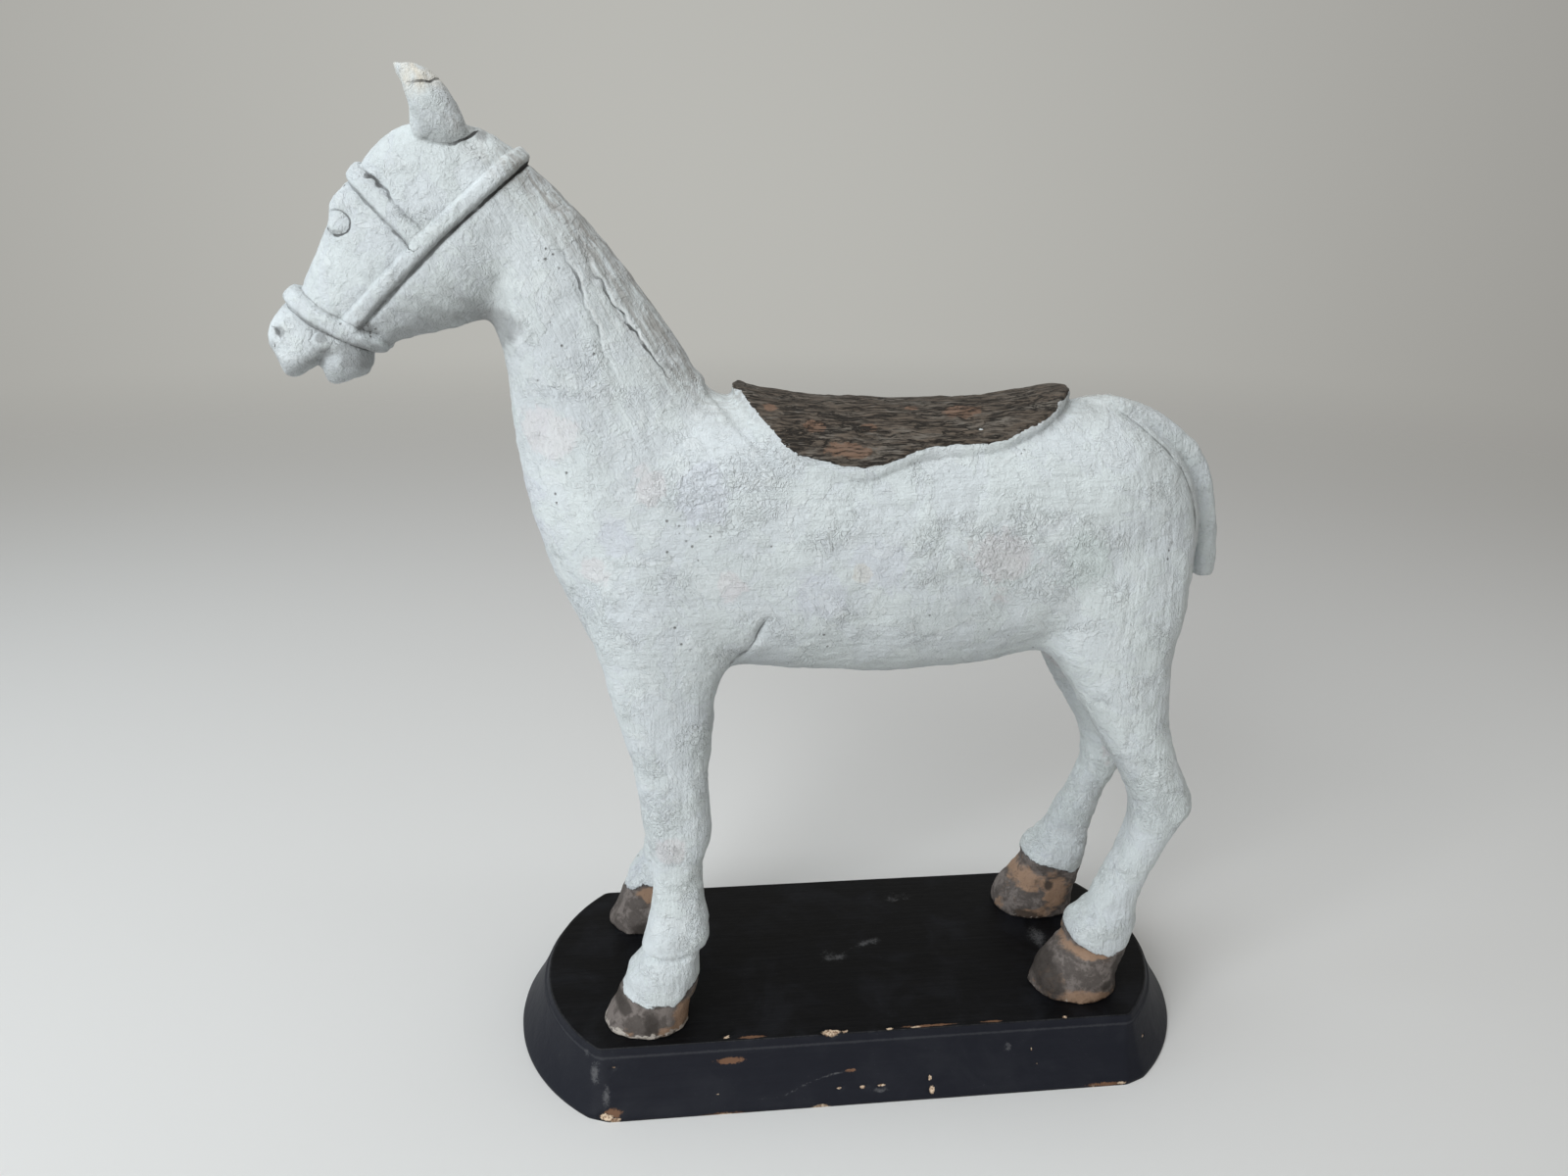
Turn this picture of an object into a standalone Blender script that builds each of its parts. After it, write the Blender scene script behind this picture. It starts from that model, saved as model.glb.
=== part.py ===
"""Carved wooden horse with a saddle and bridle, standing on a moulded wooden plinth.

Metres, +Z up. The origin is the middle of the plinth's underside. The horse looks along -X, so its left
side is at -Y. The horse's own shapes are given in millimetres on a figure FIGURE_DRAWN tall, measured from
its soles, and scaled to FIGURE_HEIGHT.
"""

import bmesh
import bpy
import numpy as np
from mathutils import Vector

# Driving sizes
FIGURE_HEIGHT = 0.3945
PLINTH_LENGTH = 0.3170
PLINTH_WIDTH = 0.1480
PLINTH_HEIGHT = 0.0255
PLINTH_END_BOW = 0.0385
PLINTH_BOW_LOSS = 0.0135
PLINTH_SIDE_FLARE = 0.0158
PLINTH_CORNER_CUT = 0.0048
PLINTH_CUT_LOSS = 0.75
PLINTH_TOP_BEVEL = 0.0032
PLINTH_ARRIS = 0.0012
PLINTH_HOLLOW = 0.06
PLINTH_SHOULDER_SHARE = 0.84
PLINTH_STEP_SHARE = 0.04
PLINTH_END_FACETS = 14
PLINTH_WALL_STEPS = 3
SEAT_GAP = 0.0003

# Size of the figure that the outline stations below are drawn on, in millimetres
FIGURE_DRAWN = 394.5

# Fineness of the carved surface
BLEND_VOXEL = 0.0022
CARVE_VOXEL = 0.0013
HORSE_TRIANGLES = 8600
RING_POINTS = 40
RING_STEP = 3.0

# The trunk, cut across X: x, underside z, top z, half width, height of the widest place
TRUNK = (
    (-127, 190, 224, 14, 208),
    (-119, 172, 238, 27, 207),
    (-106, 161, 252, 35, 206),
    (-86, 159, 266, 39, 206),
    (-60, 159, 274, 41.5, 206),
    (-30, 157, 268, 43, 205),
    (10, 154.5, 266, 44, 204),
    (45, 156.5, 267, 43, 206),
    (70, 161, 269.5, 41.5, 210),
    (95, 171, 271.5, 40, 215),
    (112, 180, 266, 37.5, 218),
    (126, 185, 256, 33, 218),
    (136, 191, 246, 26, 216),
    (142, 199, 235, 17, 214),
    (145.5, 207, 226, 8, 214),
)

# The neck, cut level: z, front x, crest x, half width, how much narrower the crest is than the front
NECK = (
    (164, -109, -70, 22, 0.10),
    (182, -121.5, -52, 34, 0.10),
    (204, -133.5, -40, 38, 0.10),
    (225, -140, -38, 37.5, 0.14),
    (243, -144, -44, 35, 0.20),
    (260, -145.5, -54, 31.5, 0.28),
    (275, -146.5, -64, 28, 0.36),
    (290, -148, -74, 24.5, 0.42),
    (304, -151, -83.3, 22, 0.44),
    (318, -153, -93, 20, 0.42),
    (334, -155, -105.2, 18, 0.38),
    (350, -160, -120.5, 15.5, 0.35),
    (362, -160, -133, 11.5, 0.30),
    (368.5, -154, -141, 6, 0.30),
)

# The head, cut across its own axis: distance from HEAD_START, jaw side, face side, half width, squareness
HEAD_START = (-150.0, 339.5)
HEAD_ALONG = (-0.780, -0.626)
HEAD = (
    (-27, 2, 12, 5, 2.3),
    (-24, -3, 22, 10, 2.3),
    (-16, -10, 34, 15, 2.3),
    (-4, -18, 43, 18.5, 2.3),
    (10, -24, 46.5, 20.5, 2.3),
    (24, -24.5, 44.5, 21, 2.3),
    (33, -21.5, 41.5, 20.5, 2.3),
    (43, -16.5, 38, 19, 2.3),
    (53, -11.5, 34, 16.5, 2.3),
    (62, -7.5, 30, 14.5, 2.4),
    (71, -3.5, 26.8, 13.8, 2.6),
    (79, 1.6, 25.8, 14.4, 2.9),
    (85.5, 2.4, 24.5, 14.8, 3.1),
    (89.5, 2.8, 22.4, 14.4, 3.2),
    (92.5, 3.1, 18.8, 13, 3.2),
    (94.6, 3.5, 13, 11, 3.0),
    (95.8, 4.2, 9, 8.5, 2.8),
)
FACE_NARROWING = 0.25
LOWER_JAW = (
    (50, -11.2, 6, 10, 2.2),
    (57, -8.4, 6, 9.6, 2.2),
    (64, -6.2, 5.5, 9.8, 2.4),
    (69, -9.8, 5, 10.4, 2.6),
    (73.5, -12.2, 4.6, 10.6, 2.8),
    (79, -10.6, 3.4, 9.8, 2.8),
    (83.5, -8.6, 1.2, 7.8, 2.7),
    (86.2, -7.8, -2.6, 5.4, 2.6),
    (87.2, -7.2, -4.6, 3.8, 2.4),
)

# Legs, cut level: z, front x, back x, inner y, outer y
FORE_LEG = (
    (32, -100, -75, 25, 50),
    (37, -99, -74, 25.5, 48),
    (45, -98.5, -71, 24, 48),
    (55, -96, -71.5, 24, 46.5),
    (66, -95, -72.5, 24, 45.5),
    (79, -95, -72, 22.5, 45.5),
    (90, -97, -69, 20.5, 46),
    (100, -98.5, -69.5, 19.5, 46),
    (118, -101, -70, 18, 45),
    (136, -105.5, -68, 15.5, 44.5),
    (154, -110.5, -66, 11.5, 44),
    (164, -113, -63, 8, 43.5),
    (174, -115.5, -58, 5, 43),
    (190, -118, -56, 4, 42),
    (212, -116, -62, 6, 39),
    (232, -108, -72, 10, 33),
)
HIND_LEG = (
    (36, 99.5, 126.5, 21, 45),
    (43, 104, 127, 22.5, 44),
    (50, 106.5, 128.5, 22, 43),
    (60, 111.5, 131.5, 22, 42.5),
    (72, 117, 135.5, 21.5, 42.5),
    (84, 120.5, 141.5, 19.5, 43),
    (93, 120, 147.5, 18.5, 43.5),
    (99, 118.5, 147, 17.5, 43.5),
    (108, 114.5, 143, 16, 43.5),
    (122, 105.5, 136.5, 14, 43),
    (140, 95, 132.5, 10, 43),
    (158, 84, 132, 6, 43),
    (171, 74, 133.5, 4, 42.5),
    (190, 72, 136.5, 4, 42),
    (210, 76, 137.5, 5, 40),
    (232, 86, 134, 8, 34),
)
PASTERN_FORE = (
    (14, -106, -77, 23, 51),
    (19, -108, -76, 22, 53),
    (25, -107, -75.5, 22, 53),
    (31, -103, -75.5, 23, 52),
    (36, -99, -75, 25, 50),
)
PASTERN_HIND = (
    (16, 98, 124, 18, 46),
    (22, 96.5, 125, 17.5, 47),
    (30, 94.5, 126.5, 17, 47.5),
    (36, 96, 127.5, 18.5, 46.5),
    (42, 103, 127, 21, 45),
)
HOOF_FORE = (
    (-2, -118, -80, 19.5, 55),
    (8, -114, -79.5, 21, 54),
    (20, -108, -78, 23, 52),
    (24, -103, -80, 25, 50),
)
HOOF_HIND = (
    (-2, 80.5, 122, 15, 50),
    (8, 82.5, 122.5, 15.5, 49.5),
    (20, 90, 123.5, 17.5, 47.5),
    (28, 98, 123.5, 20, 45),
)

# The ears: height, middle x, half length along X, half width, distance out from the centre plane
EAR = (
    (358, -160, 9, 4, 5),
    (366, -162.5, 10.5, 4.6, 6.6),
    (374, -164.5, 9.6, 5.4, 8.6),
    (381, -165.8, 8.3, 5.4, 10),
    (388, -168.5, 7.4, 4.8, 11),
    (392, -171, 6.4, 4.0, 11.4),
    (394.5, -173.8, 4.0, 2.4, 11.6),
)
FAR_EAR_LEAN = -3.8

# The tail's middle line down the rump: x, z, half width, half thickness
TAIL = (
    (88, 268, 6.5, 3.5),
    (101, 268.6, 8, 4.5),
    (114.5, 265, 8.5, 5),
    (123, 261.2, 8.5, 5.2),
    (132.2, 254.4, 8, 5.2),
    (140, 247.2, 7.8, 5.2),
    (145.4, 236.7, 7.4, 5.2),
    (149.6, 221.8, 7, 5.1),
    (152.6, 205.5, 6.6, 4.9),
    (153.2, 196, 6.4, 4.8),
    (153, 193, 5.8, 4.3),
)

# The saddle, cut across X: x, height of its top, spread of the seat down each side, width of its rim
SADDLE = (
    (-58, 279.5, 4, 4.5),
    (-55, 279.8, 9, 5.5),
    (-51, 278.6, 18, 5.8),
    (-44, 277, 26, 5.2),
    (-38, 276.2, 30.4, 2.6),
    (-26, 274.8, 33.3, 0.9),
    (-8, 273.3, 34.6, 0.4),
    (4, 272.8, 32.7, 0.3),
    (19, 272.5, 29.3, 0.3),
    (38, 273, 28.3, 0.3),
    (49, 273.8, 27.4, 0.3),
    (58, 274.8, 24.9, 0.3),
    (66, 276, 22.3, 0.3),
    (74, 277.6, 17.5, 0.3),
    (79, 278.1, 11, 0.3),
    (82, 278, 6, 0.3),
    (83.5, 277.6, 3, 0.3),
)
SADDLE_SKIN = 5.5
SADDLE_FLAP_SKIN = 2.6
SADDLE_FLAP_AT = 36.0

# Bridle straps in side view, on both sides of the head: half width, proud, then the middle line
HEADPIECE = (3.3, 2.1, ((-131, 369), (-168, 336.8), (-202, 304)))
BROWBAND = (3.4, 2.0, ((-207, 368), (-191, 352.5), (-174, 335)))
NOSEBAND = (
    3.4,
    3.0,
    ((-230, 317.5), (-222, 312.5), (-215, 307), (-209.5, 303.8), (-203, 300.8), (-194, 296)),
)
STRAP_LINE_DEPTH = 0.7

# Rounded forms on both sides of the head: x, distance out, z, radius, proud
FORMS = (
    (-204, 9, 348.5, 6.5, 4.6),
    (-203.5, 10.5, 339.3, 4.2, 1.6),
    (-198, 12, 302, 2.6, 1.8),
    (-190, 6, 296.5, 4, 1.0),
    (-229, 9, 300, 1.8, -1.6),
    (-224, 12, 298, 6, 1.0),
)
EYE = (-203.5, 10.5, 339.3)
LID_RADIUS = 6.0
LID_PROUD = 1.1

# Creases in side view: half width, depth, then the line
ELBOW_CREASE = (2.4, 1.7, ((-47, 191), (-49, 187), (-51, 181), (-55, 174), (-60, 168)))


def mm(value):
    """A length drawn in millimetres on the figure, in metres at the figure's real height."""
    return np.asarray(value, float) * FIGURE_HEIGHT / FIGURE_DRAWN


def smooth_rows(table, step):
    """Rows closer together than the table's own, on a curve that never overshoots the drawn ones."""
    rows = np.array(table, float)
    t, values = rows[:, 0], rows[:, 1:]
    gaps = np.diff(t)[:, None]
    secants = np.diff(values, axis=0) / gaps
    slopes = np.vstack([secants[:1], np.zeros_like(secants[1:]), secants[-1:]])
    before, after = secants[:-1], secants[1:]
    agree = before * after > 0
    total = np.where(agree, before + after, 1.0)
    slopes[1:-1] = np.where(agree, 2 * before * after / total, 0.0)
    count = max(2, int(round((t[-1] - t[0]) / step)))
    at = np.unique(np.concatenate([np.linspace(t[0], t[-1], count), t]))
    i = np.clip(np.searchsorted(t, at, side="right") - 1, 0, len(t) - 2)
    h = gaps[i]
    u = ((at - t[i]) / gaps[i, 0])[:, None]
    curve = (
        (2 * u**3 - 3 * u**2 + 1) * values[i]
        + (u**3 - 2 * u**2 + u) * h * slopes[i]
        + (3 * u**2 - 2 * u**3) * values[i + 1]
        + (u**3 - u**2) * h * slopes[i + 1]
    )
    return at, curve


def rounded(exponent=2.3):
    """Cosine and sine round a ring, squared up a little, as a carver leaves a limb."""
    angle = np.linspace(0, 2 * np.pi, RING_POINTS, endpoint=False)
    c, s = np.cos(angle), np.sin(angle)
    power = 2 / exponent
    return np.sign(c) * np.abs(c) ** power, np.sign(s) * np.abs(s) ** power


def ring_mesh(name, rings):
    """A closed mesh through rings of points, each end closed by a flat cap."""
    rings = mm(rings)
    count, around, _ = rings.shape
    here = np.arange(around)
    there = (here + 1) % around
    faces = []
    for k in range(count - 1):
        low, high = k * around, (k + 1) * around
        faces += [(low + a, low + b, high + b, high + a) for a, b in zip(here, there)]
    faces.append(tuple(int(a) for a in here[::-1]))
    faces.append(tuple(int(a) for a in (count - 1) * around + here))
    mesh = bpy.data.meshes.new(name)
    mesh.from_pydata([tuple(p) for p in rings.reshape(-1, 3)], [], [tuple(map(int, f)) for f in faces])
    shape = bmesh.new()
    shape.from_mesh(mesh)
    bmesh.ops.recalc_face_normals(shape, faces=shape.faces)
    shape.to_mesh(mesh)
    shape.free()
    return mesh


def trunk_mesh():
    x, rows = smooth_rows(TRUNK, RING_STEP)
    under, top, half, wide = rows.T
    c, s = rounded(2.25)
    reach = np.where(s > 0, (top - wide)[:, None], (wide - under)[:, None])
    across = np.broadcast_to(x[:, None], reach.shape)
    return ring_mesh("trunk", np.stack([across, half[:, None] * c, wide[:, None] + reach * s], 2))


def neck_mesh():
    z, rows = smooth_rows(NECK, RING_STEP)
    front, crest, half, crest_narrower = rows.T
    c, s = rounded(2.1)
    middle, reach = (front + crest) / 2, (crest - front) / 2
    narrowing = 1 - crest_narrower[:, None] * (c + 1) / 2
    rings = np.stack(
        [
            middle[:, None] + reach[:, None] * c,
            half[:, None] * s * narrowing,
            np.broadcast_to(z[:, None], (len(z), RING_POINTS)),
        ],
        2,
    )
    return ring_mesh("neck", rings)


def head_point(s, v, y):
    """A place in the head's own directions: s along it, v towards the face, y to the far side."""
    along_x, along_z = HEAD_ALONG
    return np.stack(
        np.broadcast_arrays(
            HEAD_START[0] + s * along_x + v * along_z,
            y,
            HEAD_START[1] + s * along_z - v * along_x,
        ),
        -1,
    )


def head_mesh(name, table, narrowing):
    s, rows = smooth_rows(table, RING_STEP / 1.5)
    jaw, face, half, squareness = rows.T
    c, sn = rounded(squareness[:, None])
    middle, reach = (jaw + face) / 2, (face - jaw) / 2
    width = 1 - narrowing * (c + 1) / 2
    rings = head_point(s[:, None], middle[:, None] + reach[:, None] * c, half[:, None] * sn * width)
    return ring_mesh(name, rings)


def limb_mesh(name, table, side, exponent=2.4):
    """A limb cut level, given by its front, back, inner and outer outlines."""
    z, rows = smooth_rows(table, RING_STEP)
    front, back, inner, outer = rows.T
    c, s = rounded(exponent)
    rings = np.stack(
        [
            ((front + back) / 2)[:, None] + ((back - front) / 2)[:, None] * c,
            side * (((inner + outer) / 2)[:, None] + ((outer - inner) / 2)[:, None] * s),
            np.broadcast_to(z[:, None], (len(z), RING_POINTS)),
        ],
        2,
    )
    return ring_mesh(name, rings)


def ear_mesh(name, side, lean):
    z, rows = smooth_rows(EAR, RING_STEP / 2)
    middle, half_x, half_y, out = rows.T
    share = (z - z[0]) / (z[-1] - z[0])
    c, s = rounded(2.2)
    rings = np.stack(
        [
            (middle + lean * share)[:, None] + half_x[:, None] * c,
            side * (out[:, None] + half_y[:, None] * s),
            np.broadcast_to(z[:, None], (len(z), RING_POINTS)),
        ],
        2,
    )
    return ring_mesh(name, rings)


def tail_mesh():
    """A strip laid down the rump, square to its own middle line."""
    rows = np.array(TAIL, float)
    run = np.concatenate([[0], np.cumsum(np.hypot(*np.diff(rows[:, :2], axis=0).T))])
    _, fine = smooth_rows(np.column_stack([run, rows]), RING_STEP)
    line = fine[:, :2]
    way = np.gradient(line, axis=0)
    way /= np.linalg.norm(way, axis=1)[:, None]
    c, s = rounded(2.8)
    rings = np.stack(
        [
            line[:, :1] - way[:, 1:] * fine[:, 3:4] * c,
            fine[:, 2:3] * s,
            line[:, 1:] + way[:, :1] * fine[:, 3:4] * c,
        ],
        2,
    )
    return ring_mesh("tail", rings)


def trunk_top_at(x, y, skin):
    """Height of the trunk's upper side, or of a skin this thick laid over it."""
    table = np.array(TRUNK, float)
    top, half, wide = (np.interp(x, table[:, 0], table[:, k]) for k in (2, 3, 4))
    flat = np.clip(np.abs(y) / (half + skin), 0, 0.98)
    return wide + (top + skin - wide) * (1 - flat**2.25) ** (1 / 2.25)


def saddle_mesh():
    """A thick pad over the back: a seat, a rim sloping out to the body, and an inner skin in the wood."""
    x, rows = smooth_rows(SADDLE, RING_STEP / 1.5)
    top, spread, rim = (column[:, None] for column in rows.T)
    x = x[:, None]
    turn = np.linspace(-1, 1, RING_POINTS // 2)
    seat_y = spread * turn
    skin = SADDLE_SKIN + (SADDLE_FLAP_SKIN - SADDLE_SKIN) * (seat_y / SADDLE_FLAP_AT) ** 2
    seat_z = trunk_top_at(x, seat_y, skin) + top - trunk_top_at(x, 0.0, SADDLE_SKIN)
    foot_y = (spread + rim) * np.array([1.0, 0.94])
    foot_z = trunk_top_at(x, foot_y, 0.0) - np.array([0.5, 4.0])
    inner_y = (spread + rim) * np.linspace(0.8, -0.8, 7)
    inner_z = trunk_top_at(x, inner_y, 0.0) - 5
    y = np.concatenate([seat_y, foot_y, inner_y, -foot_y[:, ::-1]], 1)
    z = np.concatenate([seat_z, foot_z, inner_z, foot_z[:, ::-1]], 1)
    return ring_mesh("saddle", np.stack([np.broadcast_to(x, y.shape), y, z], 2))


def joined(name, meshes):
    """One object holding every mesh, which a voxel remesh then makes one skin."""
    obj = bpy.data.objects.new(name, bpy.data.meshes.new(name))
    shape = bmesh.new()
    for mesh in meshes:
        shape.from_mesh(mesh)
    shape.to_mesh(obj.data)
    shape.free()
    bpy.context.scene.collection.objects.link(obj)
    return obj


def voxel_skin(obj, size):
    remesh = obj.modifiers.new("one skin", "REMESH")
    remesh.mode = "VOXEL"
    remesh.voxel_size = size
    settle(obj)


def settle(obj):
    """Applies the object's modifiers."""
    graph = bpy.context.evaluated_depsgraph_get()
    mesh = bpy.data.meshes.new_from_object(obj.evaluated_get(graph))
    obj.modifiers.clear()
    obj.data = mesh


def soften(obj, weight_of, turns):
    """Rubs the skin smooth where weight_of says, as sandpaper rounds over where a limb meets the body."""
    points = np.empty(len(obj.data.vertices) * 3, np.float32)
    obj.data.vertices.foreach_get("co", points)
    weights = weight_of(points.reshape(-1, 3) / mm(1.0))
    obj.vertex_groups.clear()
    group = obj.vertex_groups.new(name="softened")
    for level in range(1, 11):
        chosen = np.flatnonzero(np.round(weights * 10) == level)
        group.add([int(k) for k in chosen], level / 10, "REPLACE")
    smooth = obj.modifiers.new("softened", "SMOOTH")
    smooth.vertex_group = "softened"
    smooth.factor = 0.5
    smooth.iterations = turns
    settle(obj)


def ramp(value, start, end):
    return np.clip((value - start) / (end - start), 0, 1)


def body_softening(p):
    """1 over the trunk, neck and upper legs, a light touch on the head and lower legs, none at the lips."""
    lower = ramp(p[:, 2], 95, 150)
    head = ramp(p[:, 0], -168, -150)
    lips = ramp(p[:, 0], -200, -212)
    return np.clip(0.12 * (1 - lips) + 0.88 * lower * head, 0, 1)


def joint_softening(p):
    """A light touch everywhere, and more at the roots of the ears."""
    ear = np.exp(-(((p[:, 2] - 370) / 5) ** 2)) * (p[:, 2] > 340)
    return 0.5 + 0.5 * ear


def shoulder_softening(p):
    """1 where the neck runs into the trunk, so that no seam is left across the shoulder."""
    away = np.stack([(p[:, 0] + 78) / 46, (p[:, 2] - 232) / 46, (np.abs(p[:, 1]) - 32) / 26])
    return np.clip(1.3 - np.linalg.norm(away, axis=0), 0, 1)


def side_distance(p, path):
    """Distance of each point from a line drawn in side view."""
    best = np.full(len(p), np.inf)
    flat = p[:, [0, 2]]
    for start, end in zip(np.array(path[:-1], float), np.array(path[1:], float)):
        way = end - start
        along = np.clip((flat - start) @ way / (way @ way), 0, 1)
        away = flat - start - along[:, None] * way
        best = np.minimum(best, np.linalg.norm(away, axis=1))
    return best


def carving(p):
    """How far the carver's tools leave each place standing proud, in millimetres."""
    straps = np.zeros(len(p))
    lines = np.zeros(len(p))
    for half, height, path in (HEADPIECE, BROWBAND, NOSEBAND):
        distance = side_distance(p, path)
        straps = np.maximum(straps, height * np.sqrt(np.clip(1 - (distance / half) ** 4, 0, 1)))
        lines = np.maximum(lines, np.exp(-(((distance - half - 0.5) / 0.8) ** 2)))
    on_head = (p[:, 2] > 280) & (p[:, 0] < -128)
    proud = np.where(on_head, straps - STRAP_LINE_DEPTH * lines * (straps == 0), 0.0)
    for x, out, z, radius, height in FORMS:
        distance = np.linalg.norm(np.stack([p[:, 0] - x, np.abs(p[:, 1]) - out, p[:, 2] - z]), axis=0)
        proud += height * np.exp(-((distance / radius) ** 2))
    x, out, z = EYE
    distance = np.linalg.norm(np.stack([p[:, 0] - x, np.abs(p[:, 1]) - out, p[:, 2] - z]), axis=0)
    proud += LID_PROUD * np.exp(-(((distance - LID_RADIUS) / 1.2) ** 2))
    half, depth, path = ELBOW_CREASE
    distance = side_distance(p, path)
    proud -= np.where(np.abs(p[:, 1]) > 24, depth * np.exp(-((distance / half) ** 2)), 0)
    return proud


def carve(obj, relief):
    """Pushes every point out or in along its normal by the relief there."""
    count = len(obj.data.vertices)
    points = np.empty(count * 3, np.float32)
    normals = np.empty(count * 3, np.float32)
    obj.data.vertices.foreach_get("co", points)
    obj.data.vertex_normals.foreach_get("vector", normals)
    points, normals = points.reshape(-1, 3), normals.reshape(-1, 3)
    points += normals * mm(relief(points / mm(1.0)))[:, None].astype(np.float32)
    obj.data.vertices.foreach_set("co", points.reshape(-1))
    obj.data.update()


def horse(material):
    meshes = [trunk_mesh(), neck_mesh(), head_mesh("head", HEAD, FACE_NARROWING)]
    meshes.append(head_mesh("lower_jaw", LOWER_JAW, 0.0))
    for side in (-1, 1):
        meshes.append(limb_mesh("fore_leg", FORE_LEG, side))
        meshes.append(limb_mesh("hind_leg", HIND_LEG, side))
    obj = joined("horse", meshes)
    voxel_skin(obj, BLEND_VOXEL)
    soften(obj, body_softening, 45)
    soften(obj, shoulder_softening, 120)

    crisp = [saddle_mesh(), tail_mesh()]
    crisp += [ear_mesh("near_ear", -1, 0.0), ear_mesh("far_ear", 1, FAR_EAR_LEAN)]
    for side in (-1, 1):
        crisp.append(limb_mesh("fore_pastern", PASTERN_FORE, side))
        crisp.append(limb_mesh("hind_pastern", PASTERN_HIND, side))
        crisp.append(limb_mesh("fore_hoof", HOOF_FORE, side, 2.2))
        crisp.append(limb_mesh("hind_hoof", HOOF_HIND, side, 2.2))
    skin = bmesh.new()
    skin.from_mesh(obj.data)
    for mesh in crisp:
        skin.from_mesh(mesh)
    skin.to_mesh(obj.data)
    skin.free()
    voxel_skin(obj, CARVE_VOXEL)
    soften(obj, joint_softening, 4)
    carve(obj, carving)
    thin = obj.modifiers.new("fewer faces", "DECIMATE")
    thin.ratio = HORSE_TRIANGLES / sum(len(f.vertices) - 2 for f in obj.data.polygons)
    settle(obj)
    obj.location.z = PLINTH_HEIGHT
    cut_soles(obj)
    obj.data.materials.clear()
    obj.data.materials.append(material)
    obj.data.shade_smooth()
    return obj


def cut_soles(obj):
    """Cuts the hooves off flat, just clear of the plinth."""
    shape = bmesh.new()
    shape.from_mesh(obj.data)
    everything = shape.verts[:] + shape.edges[:] + shape.faces[:]
    cut = bmesh.ops.bisect_plane(
        shape,
        geom=everything,
        plane_co=Vector((0, 0, SEAT_GAP)),
        plane_no=Vector((0, 0, -1)),
        clear_outer=True,
    )
    rims = [e for e in cut["geom_cut"] if isinstance(e, bmesh.types.BMEdge)]
    bmesh.ops.triangle_fill(shape, use_beauty=True, edges=rims)
    bmesh.ops.recalc_face_normals(shape, faces=shape.faces)
    shape.to_mesh(obj.data)
    shape.free()


def plinth_outline(share):
    """The plinth's plan: straight sides, bowed ends and a narrow cut across each corner.

    The share runs from 0 at the underside to 1 at the top edge.
    """
    half_width = PLINTH_WIDTH / 2 - PLINTH_SIDE_FLARE * share
    bow = PLINTH_END_BOW - PLINTH_BOW_LOSS * share
    corner = PLINTH_LENGTH / 2 - PLINTH_END_BOW
    cut = PLINTH_CORNER_CUT * (1 - PLINTH_CUT_LOSS * share)
    radius = (half_width**2 + bow**2) / (2 * bow)
    reach = np.arcsin(half_width / radius)
    turn = np.linspace(-reach, reach, PLINTH_END_FACETS + 1) * (1 - cut / half_width)
    end = np.column_stack([corner + bow - radius + radius * np.cos(turn), radius * np.sin(turn)])
    side_end = corner - cut * 0.9
    right = np.vstack([[side_end, -half_width], end, [side_end, half_width]])
    return np.vstack([right, -right])


def plinth(material):
    """A flared block: a sloping, slightly hollow wall, a fine step, and a bevel round the top."""
    shoulder = PLINTH_HEIGHT - PLINTH_TOP_BEVEL
    profile = [(0.0, 0.0)]
    for k in range(PLINTH_WALL_STEPS + 1):
        up = k / PLINTH_WALL_STEPS
        hollow = PLINTH_HOLLOW * np.sin(np.pi * up)
        share = PLINTH_SHOULDER_SHARE * (up + hollow)
        profile.append((share, PLINTH_ARRIS + (shoulder - PLINTH_ARRIS) * up))
    profile.append((PLINTH_SHOULDER_SHARE + PLINTH_STEP_SHARE, shoulder))
    profile.append((1.0, PLINTH_HEIGHT))
    shape = bmesh.new()
    rows = []
    for share, z in profile:
        rows.append([shape.verts.new((x, y, z)) for x, y in plinth_outline(share)])
    for low, high in zip(rows, rows[1:]):
        for k in range(len(low)):
            n = (k + 1) % len(low)
            shape.faces.new((low[k], low[n], high[n], high[k]))
    shape.faces.new(rows[0][::-1])
    shape.faces.new(rows[-1])
    bmesh.ops.recalc_face_normals(shape, faces=shape.faces)
    mesh = bpy.data.meshes.new("plinth")
    shape.to_mesh(mesh)
    shape.free()
    mesh.materials.append(material)
    obj = bpy.data.objects.new("plinth", mesh)
    bpy.context.scene.collection.objects.link(obj)
    return obj


def paint(name, colour, roughness):
    material = bpy.data.materials.new(name)
    material.use_nodes = True
    shader = material.node_tree.nodes["Principled BSDF"]
    shader.inputs["Base Color"].default_value = (*colour, 1)
    shader.inputs["Roughness"].default_value = roughness
    shader.inputs["Metallic"].default_value = 0.0
    return material


def main():
    for obj in list(bpy.data.objects):
        bpy.data.objects.remove(obj)
    plinth(paint("black paint", (0.012, 0.012, 0.015), 0.55))
    horse(paint("white paint", (0.62, 0.64, 0.64), 0.75))


main()
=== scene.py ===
"""Carved and painted wooden horse on its plinth: every surface, the floor, the light and the camera.

Metres, +Z up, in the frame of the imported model: the origin is the middle of the plinth's underside, the
horse looks along -X and its left side is at -Y. The horse is carved in millimetres of a figure FIGURE_DRAWN
tall, measured from its soles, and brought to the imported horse's height at the end.
"""

from __future__ import annotations

import logging
from dataclasses import dataclass
from enum import Enum
from itertools import product

import bmesh
import bpy
import numpy as np
from mathutils import Matrix, Vector
from numpy.typing import NDArray


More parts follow.
